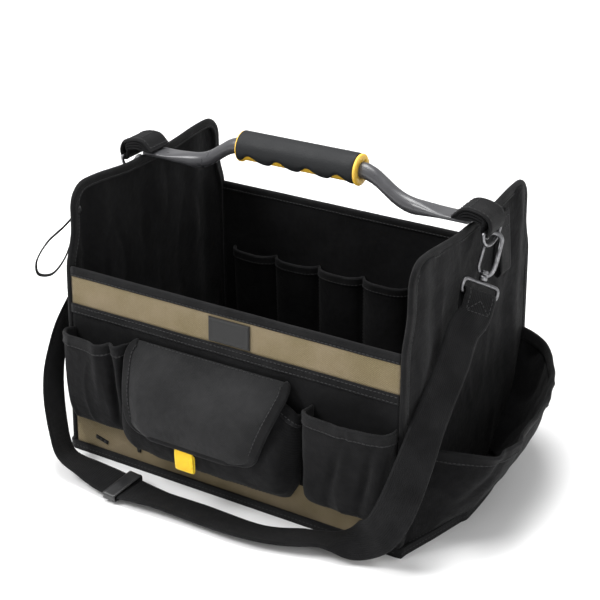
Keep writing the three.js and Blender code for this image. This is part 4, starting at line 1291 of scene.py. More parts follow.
@dataclass
class BagWalls:
    """Long walls, end panels, base, bindings and trim."""

    seam_top: float = 177.0
    seam_height: float = 10.0
    seam_thickness: float = 1.6
    band_foot: float = 44.0
    patch_width: float = 49.0
    patch_height: float = 27.0
    patch_thickness: float = 1.4
    patch_offset: float = 4.5
    tape_leg: float = 10.5
    tack_width: float = 4.6
    tack_thickness: float = 1.5
    tacks: tuple[tuple[str, tuple[float, float], tuple[float, float]], ...] = (
        ("level", (-170.5, 22.5), (-154.5, 18.5)), ("upright", (-114.8, 45.0), (-112.2, 20.0)),
    )
    thread: Thread = field(default_factory=lambda: Thread("body_stitches"))

    def build(self) -> None:
        """Make every piece of the bag's body."""
        for wall in Wall:
            self.build_long_wall(wall)
        for side in Side:
            self.build_end(side)
        self.build_base()
        self.build_patch()
        self.build_tacks()
        self.thread.build(THREAD)

    def build_long_wall(self, wall: Wall) -> None:
        """Make a long wall, the tape on its edge and its seam binding."""
        name, sign = wall.name.lower(), wall.value
        outward = Vector((0, sign, 0))
        foot = SHAPE.base + SHAPE.gap

        def relief(at: Vector, across: float, up: float) -> float:
            """Slack of the wall between its seams, drawn in at the bound edge."""
            held = sewn_ends(across, 0.03) * smoothstep(up, 0, 0.06)
            free = 1 - smoothstep(up, 0.72, 0.8) * 0.7
            value = 1.0 * crumple(at, 46, 1.0 + sign) + 0.5 * creases(at, 30, Vector((0.4, 1, 1)), 2.0)
            return value * held * free - 0.5

        grid: Grid = []
        for r in range(52):
            z = foot + (SHAPE.front_height - foot) * r / 51
            half = SHAPE.corner_line(z)
            face = sign * SHAPE.front_face(z)
            grid.append([Vector((half * (2 * c / 110 - 1), face, z)) for c in range(111)])
        grid = relieved(grid, outward, relief)
        cloths = [KHAKI_CLOTH, LINING_CLOTH, BLACK_CLOTH, LINING_CLOTH]
        shell = cloth_shell(f"{name}_wall_cloth", grid, outward, cloths, SHAPE.wall, f"{name}_panel")
        for face in shell.data.polygons:
            if self.band_foot < face.center.z / MM < self.seam_top - self.seam_height / 2:
                face.material_index = 2

        top = SHAPE.front_height + SHAPE.gap + SHAPE.binding_height
        reach = SHAPE.corner_line(top) - SHAPE.gap
        middle = sign * (SHAPE.front_face(top) - SHAPE.wall / 2)
        path = [Vector((reach * (2 * i / 80 - 1), middle, top - self.tape_leg / 2)) for i in range(81)]
        path = [p + Vector((0, 0.5 * crumple(p, 60, 4.0), 0.35 * crumple(p, 90, 6.0))) for p in path]
        section = tape_section(self.tape_leg, SHAPE.binding_thickness)
        strip(f"{name}_top_tape", path, [UP] * 81, section, BINDING, f"{name}_top_binding")
        face = SHAPE.binding_thickness / 2 + 0.15
        low = [p + Vector((0, sign * face, -self.tape_leg / 2 + 2.2)) for p in path]
        self.thread.sew(low, [outward] * 81)
        inside = [p + Vector((0, -sign * face, -self.tape_leg / 2 + 2.2)) for p in path]
        self.thread.sew(inside, [-outward] * 81)

        z = self.seam_top - self.seam_height / 2
        run = SHAPE.corner_line(self.seam_top) - SHAPE.gap
        lie = sign * (SHAPE.front_face(z) + SHAPE.gap + self.seam_thickness / 2 - 0.4)
        path = [Vector((run * (2 * i / 80 - 1), lie, z)) for i in range(81)]
        path = [p + Vector((0, 0.3 * crumple(p, 50, 2.0), 0.4 * crumple(p, 90, 9.0))) for p in path]
        strip(f"{name}_seam_tape", path, [UP] * 81,
              band_section(self.seam_height + 1, self.seam_thickness + 0.9, 0.3), BINDING,
              f"{name}_seam_binding")
        for rise in (-3.3, 3.3):
            self.thread.sew([p + Vector((0, sign * 1.4, rise)) for p in path], [outward] * 81)

    def build_end(self, side: Side) -> None:
        """Make an end panel and the binding round its edge."""
        name, sign = side.name.lower(), side.value
        outward = Vector((sign, 0, 0))
        rows = SHAPE.end_rows()

        def relief(at: Vector, across: float, up: float) -> float:
            """Rolls and folds of the end panel's cloth."""
            held = sewn_ends(across, 0.03) * smoothstep(1 - up, 0, 0.05)
            roll = 3.0 * (hill(at.y, -112, 13) + hill(at.y, 112, 13)) * smoothstep(at.z, 40, 110)
            valley = -1.6 * (hill(at.y, -84, 12) + hill(at.y, 84, 12)) * smoothstep(at.z, 90, 150)
            loose = 2.0 * crumple(at, 58, 11.0 + sign)
            loose += 1.6 * creases(at, 46, Vector((1, 1, 0.4)), 3.0 + sign)
            return held * (roll + valley + loose) * smoothstep(at.z, 0, 20)

        grid: Grid = []
        for z, half in rows:
            line: Line = []
            for c in range(73):
                y = half * (2 * c / 72 - 1)
                line.append(Vector((sign * (SHAPE.end_face(z) - SHAPE.dish(y, z)), y, z + SHAPE.ear(y, z))))
            grid.append(line)
        grid = relieved(grid, outward, relief)
        cloth_shell(f"{name}_end_cloth", grid, outward, [BLACK_CLOTH, LINING_CLOTH], SHAPE.wall,
                    f"{name}_end_panel")

        edge = [(-half, max(z, SHAPE.base_band_height) + SHAPE.ear(half, z)) for z, half in rows]
        edge = [pair for i, pair in enumerate(edge) if i == 0 or pair[1] > edge[i - 1][1] + 0.01]
        top_z, top_half = rows[-1]
        crown = [(top_half * (2 * c / 60 - 1), 0.0) for c in range(1, 60)]
        crown = [(y, top_z + SHAPE.ear(y, top_z)) for y, _ in crown]
        around = [*edge, *crown, *[(-y, z) for y, z in reversed(edge)]]
        line = spaced([Vector((0, y, z)) for y, z in around], 210)
        directions = line_normals(line)
        path: Line = []
        across: Line = []
        for point, along in zip(line, directions):
            out = Vector((0, -along.z, along.y))
            spot = point + out * (SHAPE.gap + SHAPE.binding_height - self.tape_leg / 2)
            x = sign * (SHAPE.end_face(spot.z) - SHAPE.binding_thickness / 2)
            path.append(Vector((x, spot.y, spot.z)) + Vector((0, 0, 0.3 * crumple(point, 70, 8.0))))
            across.append(out)
        section = tape_section(self.tape_leg, SHAPE.binding_thickness + 1.0)
        strip(f"{name}_end_tape", path, across, section, BINDING, f"{name}_end_binding")
        face = SHAPE.binding_thickness / 2 + 0.65
        for offset in (-3.0,):
            for way in (1, -1):
                seam = [p + a * offset + outward * (way * face) for p, a in zip(path, across)]
                self.thread.sew(seam, [outward * way] * len(seam))

    def outline(self) -> Line:
        """Footprint of the bag, anticlockwise from the right front corner."""
        pocket = EndPocket(Side.RIGHT)
        half = SHAPE.length / 2
        right = [Vector((half, -SHAPE.depth / 2, 0))]
        right += [Vector((half + reach, y, 0)) for y, reach in pocket.outline(0.0)]
        right += [Vector((half, SHAPE.depth / 2, 0))]
        left = [Vector((-point.x, point.y, 0)) for point in reversed(right)]
        return [*right, *left]

    def build_base(self) -> None:
        """Make the base cloth, the band round it and the stiff floor inside."""
        outline = self.outline()
        points = [p.copy() for p in outline] + [p + Vector((0, 0, SHAPE.base)) for p in outline]
        count = len(outline)
        faces: Faces = [tuple(range(count))[::-1], tuple(range(count, 2 * count))]
        faces += [(i, (i + 1) % count, count + (i + 1) % count, count + i) for i in range(count)]
        uvs = [(p.x * MM, p.y * MM) for p in points]
        piece = new_piece("base_cloth", points, faces, uvs, [BLACK_CLOTH.material()])
        piece.data.polygons.foreach_set("use_smooth", [False] * len(piece.data.polygons))
        settle(piece, BLACK_CLOTH, "base_panel")

        loop = spaced(softened(spaced([*outline, outline[0]], 420), 1), 421)[:-1]
        path = [p + Vector((0, 0, SHAPE.base_band_height / 2)) for p in loop]
        out = [Vector((way.y, -way.x, 0)) for way in line_normals(path, True)]
        path = [p + o * 1.7 for p, o in zip(path, out)]
        strip("base_band", path, [UP] * len(path), ridged_section(SHAPE.base_band_height, 3.4),
              BINDING, "base_binding", around=True)
        seam = [p + o * 1.5 for p, o in zip(path, out)]
        self.thread.sew(seam, out)

        half_x = SHAPE.corner_line(6) - 1
        half_y = SHAPE.front_face(6) - SHAPE.wall - 1
        grid = [[Vector((half_x * (2 * c / 80 - 1), half_y * (2 * r / 60 - 1), 6.2)) for c in range(81)]
                for r in range(61)]

        def relief(at: Vector, across: float, up: float) -> float:
            """Loose cloth over the stiff floor, turned up a little at its edges."""
            rim = max(abs(across - 0.5), abs(up - 0.5)) * 2
            return 1.0 * crumple(at, 60, 6.0) + 0.5 * creases(at, 55, Vector((1, 1, 1)), 6.0) + 2 * (rim**12)

        grid = relieved(grid, UP, relief)
        cloth_shell("floor_lining", grid, UP, [LINING_CLOTH], 1.6)

    def build_tacks(self) -> None:
        """Make the bar tacks on the lower front strip."""
        for name, start, end in self.tacks:
            path: Line = []
            for i in range(25):
                x, z = (blend_values(start[k], end[k], i / 24) for k in (0, 1))
                path.append(Vector((x, -SHAPE.front_face(z) - 0.5, z)))
            along = (path[-1] - path[0]).normalized()
            across = [along.cross(FORWARD)] * 25
            section = band_section(self.tack_width, self.tack_thickness, 0.2)
            strip(f"front_tack_{name}", path, across, section, BINDING)
            for offset in (-1.3, 0.0, 1.3):
                self.thread.sew([p + across[0] * offset + Vector((0, -0.85, 0)) for p in path],
                                [FORWARD] * 25)

    def build_patch(self) -> None:
        """Make the plain moulded patch on the upper front strip."""
        low = self.seam_top + 2
        rows, cols = 20, 34
        grid: Grid = []
        for r in range(rows + 1):
            z = low + self.patch_height * r / rows
            line: Line = []
            for c in range(cols + 1):
                u, v = abs(2 * c / cols - 1), abs(2 * r / rows - 1)
                edge = max((u * self.patch_width - self.patch_width + 9) / 9,
                           (v * self.patch_height - self.patch_height + 9) / 9)
                ridge = 1.1 * hill(edge, 0.55, 0.2)
                fall = -1.2 * smoothstep(edge, 0.88, 1.0)
                x = self.patch_offset + self.patch_width * (c / cols - 0.5)
                y = -(SHAPE.front_face(z) + SHAPE.gap + self.patch_thickness + ridge + fall)
                line.append(Vector((x, y, z)))
            grid.append(line)
        cloth_shell("label_patch_plain", grid, FORWARD, [PATCH], 1.6, "label_patch")


def tape_section(leg: float, thickness: float) -> Corners:
    """Corners of a tape folded over an edge, its fold towards the positive width."""
    half, deep = leg / 2, thickness / 2
    corners = [(-half, -deep * 0.8), (-half + 0.5, -deep)]
    corners += [(-half + 2.6, -deep - 0.1), (-half + 3.3, -deep + 0.25), (-half + 4.0, -deep - 0.15)]
    for i in range(9):
        turn = -math.pi / 2 + math.pi * i / 8
        corners.append((half - deep + deep * math.cos(turn), deep * math.sin(turn)))
    corners += [(-half + 4.0, deep + 0.15), (-half + 3.3, deep - 0.25), (-half + 2.6, deep + 0.1)]
    corners += [(-half + 0.5, deep), (-half, deep * 0.8)]
    return corners


def ridged_section(height: float, thickness: float) -> Corners:
    """Corners of a band with two raised rolls along it."""
    half, deep = height / 2, thickness / 2
    shares = [2 * i / 16 - 1 for i in range(17)]
    lift = [deep * (0.55 + 0.55 * abs(math.sin(math.pi * share)) ** 0.7) for share in shares]
    outer = [(half * share, -rise) for share, rise in zip(shares, lift)]
    inner = [(half * share, deep) for share in reversed(shares)]
    return [*outer, *inner]


@dataclass
class PocketSet:
    """Pockets on the front, the ends and the inside."""

    side_height: float = 110.0
    side_bulge: float = 25.0
    left_width: float = 76.0
    left_foot: float = 43.0
    right_width: float = 94.0
    right_foot: float = 32.0
    center_width: float = 206.0
    center_foot: float = 28.0
    center_height: float = 114.0
    center_bulge: float = 38.0
    center_offset: float = -12.5
    inner_foot: float = 14.0
    inner_height: float = 122.0
    inner_bulge: float = 15.0
    inner_cells: int = 6
    inner_side: float = 14.0
    thread: Thread = field(default_factory=lambda: Thread("pocket_stitches"))

    def build(self) -> None:
        """Make every pocket and the flap."""
        edge = SHAPE.corner_line(self.left_foot + self.side_height) - SHAPE.gap - 1
        FrontPocket("left_front_pocket_cloth", "left_front_pocket", self.left_width, self.left_foot,
                    self.side_height, self.side_bulge, -(edge - self.left_width / 2), SIDE_POCKET_ROWS,
                    left_pocket_folds, 1.5, 4).build(self.thread)
        edge = SHAPE.corner_line(self.right_foot + self.side_height) - SHAPE.gap - 1
        FrontPocket("right_front_pocket_cloth", "right_front_pocket", self.right_width, self.right_foot,
                    self.side_height, self.side_bulge, edge - self.right_width / 2, SIDE_POCKET_ROWS,
                    right_pocket_folds, 2.5, 3).build(self.thread)
        FrontPocket("center_pocket_cloth", "center_pocket", self.center_width, self.center_foot,
                    self.center_height, self.center_bulge, self.center_offset, CENTER_POCKET_ROWS,
                    center_pocket_folds, 3.5, 16).build(self.thread)
        FlapCover().build(self.thread)
        for side in Side:
            EndPocket(side).build(self.thread)
        for wall in Wall:
            self.build_inner(wall)
        self.thread.build(THREAD)

    def build_inner(self, wall: Wall) -> None:
        """Make a row of gathered cells along the inside of a long wall."""
        name, sign = wall.name.lower(), wall.value
        run = 2 * (SHAPE.corner_line(SHAPE.front_height) - self.inner_side)
        reach_rows = ((0.0, 0.2), (0.15, 0.7), (1.0, 1.0))
        outward = Vector((0, -sign, 0))
        steps = 18
        count = self.inner_cells * steps
        grid: Grid = []
        for r in range(31):
            share = r / 30
            z = self.inner_foot + share * self.inner_height
            reach = table_value(reach_rows, share, 1)
            line: Line = []
            for i in range(count + 1):
                cell = (i % steps) / steps
                bulge = reach * self.inner_bulge * math.sin(math.pi * cell) ** 0.5
                y = sign * (SHAPE.front_face(z) - SHAPE.wall - SHAPE.gap - 2 - bulge)
                line.append(Vector((run * (i / count - 0.5), y, z)))
            grid.append(line)

        def relief(at: Vector, across: float, up: float) -> float:
            """Slack in each cell."""
            cell = (across * self.inner_cells) % 1.0
            free = math.sin(math.pi * cell) * smoothstep(up, 0, 0.2)
            return free * (1.4 * crumple(at, 26, 7.0 + sign) - 1.6 * hill(cell, 0.5, 0.2) * hill(up, 1, 0.25))

        grid = relieved(grid, outward, relief)
        cloth_shell(f"{name}_inner_pocket_cloth", grid, outward, [LINING_CLOTH], 2.0, f"{name}_inner_pockets")
        lifts = grid_lifts(grid, outward)
        rim_hem(f"{name}_inner_pocket_hem", grid, lifts, self.thread, 11.0)
        for cell in range(1, self.inner_cells):
            column = [row[cell * steps] + outward * 0.4 for row in grid]
            self.thread.sew(column, [outward] * len(column))


@dataclass
class TubeHandle:
    """Steel tube with flattened ends and its two-part rubber grip."""

    radius: float = 8.6
    rise: float = 27.0
    plate_width: float = 25.0
    plate_thickness: float = 5.0
    setback: float = 5.0
    grip_length: float = 143.0
    grip_radius: float = 16.5
    cover: float = 2.4
    flange: float = 3.0
    grooves: int = 4
    rows: tuple[tuple[float, float, float], ...] = (
        (0.0, 1.0, 0.0), (0.375, 1.0, 0.0), (0.44, 0.86, 0.0), (0.5, 0.58, 0.0), (0.56, 0.28, 0.0),
        (0.62, 0.08, 0.0), (0.68, 0.0, 0.1), (0.75, 0.0, 0.45), (0.83, 0.0, 0.9), (0.9, 0.0, 1.0),
        (1.0, 0.0, 1.0),
    )

    @property
    def plate_middle(self) -> float:
        """Height of the flattened ends."""
        return (SHAPE.end_height + SHAPE.gap + SHAPE.binding_height) + SHAPE.gap + self.plate_thickness / 2

    @property
    def half(self) -> float:
        """Half length of the tube."""
        return SHAPE.end_face(SHAPE.end_height) - self.setback + 4

    @property
    def grip_middle(self) -> float:
        """Height of the grip's axis."""
        return self.plate_middle + self.rise

    def build(self) -> None:
        """Make the tube and the grip."""
        sides, steps = 28, 150
        grid: Grid = []
        for i in range(steps + 1):
            share = 2 * i / steps - 1
            at = abs(share)
            lift = min(max(table_value(self.rows, at, 1), 0.0), 1.0)
            flat = min(max(table_value(self.rows, at, 2), 0.0), 1.0)
            wide = blend_values(self.radius, self.plate_width / 2, flat)
            tall = blend_values(self.radius, self.plate_thickness / 2, flat)
            close = 1 - 0.35 * smoothstep(at, 0.985, 1.0)
            power = blend_values(1, 0.45, flat)
            z = self.plate_middle + lift * self.rise
            ring: Line = []
            for s in range(sides + 1):
                turn = 2 * math.pi * s / sides
                cos, sin = math.cos(turn), math.sin(turn)
                ring.append(Vector((
                    share * self.half,
                    wide * close * math.copysign(abs(cos) ** power, cos),
                    z + tall * close * math.copysign(abs(sin) ** power, sin),
                )))
            grid.append(ring)
        points = [p for ring in grid for p in ring[:-1]]
        uvs = [(grid[i][0].x * MM, s / sides * 0.054) for i in range(steps + 1) for s in range(sides)]
        faces: Faces = []
        for i in range(steps):
            for s in range(sides):
                t = (s + 1) % sides
                faces.append((i * sides + s, (i + 1) * sides + s, (i + 1) * sides + t, i * sides + t))
        faces += [tuple(range(sides)), tuple(steps * sides + s for s in range(sides))[::-1]]
        tube = new_piece("handle_tube_bent", points, faces, uvs, [TUBE_COAT.material()])
        settle(tube, TUBE_COAT, "handle_tube")
        self.build_grip()

    def build_grip(self) -> None:
        """Make the yellow core with its end rings and the grey cover round it."""
        bore = self.radius + 0.15
        core = self.grip_radius - self.cover
        end = self.grip_length / 2
        lip = self.grip_radius
        profile = [
            (bore, -end), (lip - 0.9, -end), (lip, -end + 0.9), (lip, -end + self.flange - 0.4),
            (lip - 0.4, -end + self.flange), (core, -end + self.flange), (core, 0),
            (core, end - self.flange), (lip - 0.4, end - self.flange), (lip, end - self.flange + 0.4),
            (lip, end - 0.9), (lip - 0.9, end), (bore, end),
        ]
        foot = Vector((0, 0, self.grip_middle))
        turned("grip_core_rubber", profile, foot, RIGHTWARD, GRIP_YELLOW, "grip_core", sides=48)
        start, stop = -end - 0.4, end - self.flange - SHAPE.gap
        grid: Grid = []
        for i in range(121):
            share = i / 120
            x = blend_values(start, stop, share)
            wave = math.cos(2 * math.pi * self.grooves * share)
            opened = math.radians(54 - 20 * wave)
            line: Line = []
            for s in range(57):
                turn = -math.pi / 2 + opened + (2 * math.pi - 2 * opened) * s / 56
                edge = 1 - smoothstep(min(s, 56 - s), 0, 4)
                radius = self.grip_radius + 0.35 - 0.9 * edge
                radius -= 0.9 * (1 - smoothstep(1 - share, 0, 0.02)) + 2.2 * (1 - smoothstep(share, 0, 0.018))
                line.append(Vector((x, radius * math.cos(turn), self.grip_middle + radius * math.sin(turn))))
            grid.append(line)
        cloth_shell("grip_cover_rubber", grid, UP, [GRIP_GREY], self.cover - 0.7, "grip_cover")


@dataclass
class EndFittings:
    """Webbing anchor, ring, snap hook, gate and strap eye at one end of the bag."""

    side: Side
    handle: TubeHandle
    anchor_width: float = 36.0
    anchor_thickness: float = 3.0
    anchor_rise: float = 11.0
    inner_plies: int = 3
    ply_pitch: float = 3.15
    ring_wire: float = 1.8
    ring_width: float = 42.0
    ring_drop: float = 17.0
    ring_clearance: float = 16.0
    hook_offset: float = 10.0
    hook_wire: float = 2.3
    hook_bow: float = 7.6
    hook_length: float = 46.0
    hook_tilt: float = math.radians(33)
    hook_turn: float = math.radians(62)
    eye_turn: float = math.radians(33)
    gate_radius: float = 1.7
    neck_radius: float = 4.4
    neck_height: float = 5.0
    eye_wire: float = 1.9
    eye_height: float = 13.0
    strap_width: float = 38.0
    strap_thickness: float = 2.4

    @property
    def prefix(self) -> str:
        """Name of the end."""
        return self.side.name.lower()

    @property
    def ring_x(self) -> float:
        """Distance of the ring from the middle of the bag."""
        return SHAPE.end_face(SHAPE.end_height) + self.ring_clearance + 2

    @property
    def ring_top(self) -> float:
        """Height of the ring's straight bar."""
        return SHAPE.end_height + SHAPE.gap + SHAPE.binding_height - 2

    def bow(self, y: float) -> float:
        """Drop of the ring's bow at a distance from its middle."""
        return self.ring_drop * max(1 - (2 * y / self.ring_width) ** 2, 0.0) ** 0.4

    def hang(self, turn: float) -> tuple[Matrix, Vector]:
        """Turn and place of the hook, or of the eye below it.

        Args:
            turn: Turn about the hook's own length.

        Returns:
            The rotation and the place of the hook's top.
        """
        sign = self.side.value
        top = self.ring_top - self.bow(self.hook_offset) + self.ring_wire + self.hook_wire + 6 * SHAPE.gap
        spin = Matrix.Rotation(-self.hook_tilt, 3, "X") @ Matrix.Rotation(-sign * turn, 3, "Z")
        return spin, Vector((sign * self.ring_x, self.hook_offset, top))

    def placed(self, points: Outline, turn: float) -> Line:
        """Carry points of the hook's own plane to their place on the bag."""
        spin, top = self.hang(turn)
        return [top + spin @ Vector((0, y, z)) for y, z in points]

    def build(self, thread: Thread) -> None:
        """Make the fittings of this end."""
        self.build_anchor(thread)
        self.build_ring()
        self.build_hook()
        self.build_eye()

    def build_anchor(self, thread: Thread) -> None:
        """Make the folded webbing that holds the handle and the ring."""
        sign = self.side.value
        fold = self.ring_wire + SHAPE.gap + self.anchor_thickness / 2
        handle = self.handle
        over = handle.plate_middle + handle.plate_thickness / 2 + SHAPE.gap + self.anchor_thickness / 2
        half = handle.half
        rise, x0, top = self.anchor_rise, self.ring_x, self.ring_top
        rows = [
            (half - 17, over), (half - 13, over + 0.35 * rise), (half - 6, over + 0.9 * rise),
            (half + 4, over + rise), (x0 + 1, over + 0.5 * rise), (x0 + fold + 1, top + 6),
            (x0 + fold, top), (x0 + fold * 0.7, top - fold * 0.7), (x0, top - fold),
            (x0 - fold * 0.7, top - fold * 0.7), (x0 - fold, top), (x0 - fold - 0.3, top + 6),
        ]
        path = smooth_route([(sign * x, 0, z) for x, z in rows], 110)
        across = [REARWARD] * len(path)
        strip(f"{self.prefix}_anchor_webbing", path, across,
              band_section(self.anchor_width, self.anchor_thickness, 0.35, 14), WEBBING,
              f"{self.prefix}_handle_anchor")
        for ply in range(1, self.inner_plies + 1):
            deep = self.ply_pitch * ply
            inner = [(half - 15.5, over + 0.2), (half - 11, over + max(0.45 * rise - deep, 0.3)),
                     (half - 5, over + max(0.92 * rise - deep, 0.35)), (half + 4, over + rise - deep),
                     (x0 - 2.5, over + 0.5 * rise - deep * 0.8), (x0 - fold + 0.6 - ply, top + 7)]
            route = smooth_route([(sign * x, 0, z) for x, z in inner], 60)
            strip(f"{self.prefix}_anchor_ply_{ply}", route, [REARWARD] * 60,
                  band_section(self.anchor_width - 1, self.anchor_thickness, 0.3, 12), WEBBING)
        outs = [way.cross(wide) for way, wide in zip(line_normals(path), across)]
        for offset in (-14.5, 14.5):
            for face in (-1, 1):
                seam = [p + a * offset + o * (face * 1.65) for p, a, o in zip(path, across, outs)][4:70]
                thread.sew(seam, [o * face for o in outs][4:70])
        for start in (6, 30):
            seam = [path[start] + Vector((0, y, 0)) + outs[start] * 1.65 for y in range(-15, 16, 5)]
            seam_low = [path[start] + Vector((0, y, 0)) - outs[start] * 1.65 for y in range(-15, 16, 5)]
            thread.sew(seam, [outs[start]] * 7)
            thread.sew(seam_low, [-outs[start]] * 7)

    def build_ring(self) -> None:
        """Make the D-shaped ring."""
        half = self.ring_width / 2
        line = [(-half, 0.0), (-half * 0.5, 0.0), (0.0, 0.0), (half * 0.5, 0.0), (half, 0.0)]
        for i in range(1, 25):
            y = half * math.cos(math.pi * i / 25)
            line.append((y, -self.bow(y)))
        origin = Vector((self.side.value * self.ring_x, 0, self.ring_top))
        path = [origin + Vector((0, y, z)) for y, z in line]
        closed = spaced(softened([*path, path[0]], 1), 121)[:-1]
        across = [RIGHTWARD] * len(closed)
        strip(f"{self.prefix}_ring_wire", closed, across, ring_section(self.ring_wire, 16), METAL,
              f"{self.prefix}_ring", around=True)

    def build_hook(self) -> None:
        """Make the snap hook with its swivel barrel and its gate."""
        seat, bow = -self.hook_length, self.hook_bow
        line: Corners = []
        for i in range(19):
            turn = math.pi * i / 18 * 1.06 - 0.06 * math.pi
            line.append((-bow * math.cos(turn), -bow + bow * math.sin(turn)))
        nose = line[0]
        line += [(bow, seat + 11), (bow * 0.7, seat + 5), (bow * 0.2, seat + 2), (0.0, seat)]
        path = smooth_route([tuple(p) for p in self.placed(line, self.hook_turn)], 90)
        spin, _ = self.hang(self.hook_turn)
        sideways = [spin @ RIGHTWARD] * len(path)

        def girth(share: float) -> tuple[float, float]:
            """Thicker at the bow, rounded off at the nose."""
            tip = 0.55 + 0.45 * smoothstep(share, 0, 0.03)
            return tip, tip * (1 + 0.12 * hill(share, 0.25, 0.15))

        strip(f"{self.prefix}_hook_bow", path, sideways, ring_section(self.hook_wire, 18), METAL,
              f"{self.prefix}_snap_hook", scale=girth)
        down = spin @ Vector((0, 0, -1))
        neck = self.placed([(0.0, seat + self.neck_height / 2)], self.hook_turn)[0]
        r, h = self.neck_radius, self.neck_height
        barrel = [(0.4, 0.0), (r * 0.72, 0.0), (r, 0.7), (r, h * 0.4), (r * 0.86, h * 0.5), (r, h * 0.6),
                  (r, h - 0.5), (r * 0.8, h), (0.4, h)]
        turned(f"{self.prefix}_hook_barrel", barrel, neck, down, METAL)

        low = seat + h / 2 + SHAPE.gap + self.gate_radius
        high = nose[1] - self.hook_wire - 4 * SHAPE.gap
        bar = [
            (-bow + 4, low + 0.2), (-bow + 1.2, low + 2.2), (-bow, low + 6), (-bow, (low + high) / 2),
            (-bow, high),
        ]
        path = smooth_route([tuple(p) for p in self.placed(bar, self.hook_turn)], 40)
        sideways = [spin @ RIGHTWARD] * len(path)

        def taper(share: float) -> tuple[float, float]:
            """Rounded at both ends of the gate."""
            near = 0.6 + 0.4 * smoothstep(min(share, 1 - share), 0, 0.05)
            return near, near

        strip(f"{self.prefix}_gate_bar", path, sideways, ring_section(self.gate_radius, 14), METAL,
              f"{self.prefix}_hook_gate", scale=taper, body=f"{self.prefix}_gate")

    def build_eye(self) -> None:
        """Make the swivel eye that the strap passes through."""
        seat = -self.hook_length
        boss_top = seat - self.neck_height / 2 - SHAPE.gap
        bar = boss_top - self.neck_height / 2
        half = self.strap_width / 2 + 1 + self.eye_wire
        foot = bar - self.eye_height
        line = [
            (-half + 4, bar), (-half * 0.4, bar), (0.0, bar), (half * 0.4, bar), (half - 4, bar),
            (half - 1.2, bar - 1.2), (half, bar - 4), (half, foot + 4), (half - 1.2, foot + 1.2),
            (half - 4, foot), (half * 0.4, foot), (0.0, foot), (-half * 0.4, foot), (-half + 4, foot),
            (-half + 1.2, foot + 1.2), (-half, foot + 4), (-half, bar - 4), (-half + 1.2, bar - 1.2),
            (-half + 4, bar),
        ]
        path = spaced(softened(self.placed(line, self.eye_turn), 2), 141)[:-1]
        spin, _ = self.hang(self.eye_turn)
        sideways = [spin @ RIGHTWARD] * len(path)
        strip(f"{self.prefix}_eye_wire", path, sideways, ring_section(self.eye_wire, 14), METAL,
              f"{self.prefix}_strap_eye", around=True)
        top = self.placed([(0.0, boss_top)], self.eye_turn)[0]
        r, h = self.neck_radius, self.neck_height
        boss = [(0.4, 0.0), (r * 0.75, 0.0), (r * 0.95, 0.6), (r * 0.95, h - 1), (r * 0.7, h), (0.4, h)]
        turned(f"{self.prefix}_eye_boss", boss, top, spin @ Vector((0, 0, -1)), METAL)

    def strap_turn(self, onward: Vector) -> list[tuple[Vector, Vector]]:
        """Way of the strap round the eye's lower bar.

        Args:
            onward: First point of the strap beyond the eye.

        Returns:
            Middle points of the webbing and the direction of its width, from its sewn end.
        """
        seat = -self.hook_length
        foot = seat - self.neck_height - SHAPE.gap - self.eye_height
        fold = self.eye_wire + 5 * SHAPE.gap + self.strap_thickness / 2
        lap = self.strap_thickness / 2 + SHAPE.gap
        bar = self.placed([(0.0, foot)], self.eye_turn)[0]
        spin, _ = self.hang(self.eye_turn)
        wide = (spin @ REARWARD).normalized()
        down = onward - bar
        down = (down - wide * down.dot(wide)).normalized()
        out = down.cross(wide)
        turn = [
            (-lap - 0.1, 30), (-lap - 0.1, 20), (-fold * 0.8, 9), (-fold, 0), (-fold * 0.7, -fold * 0.7),
            (0, -fold), (fold * 0.7, -fold * 0.7), (fold, 0), (fold * 0.8, 9), (lap + 0.1, 20),
        ]
        return [(bar + out * off + down * drop, wide) for off, drop in turn]


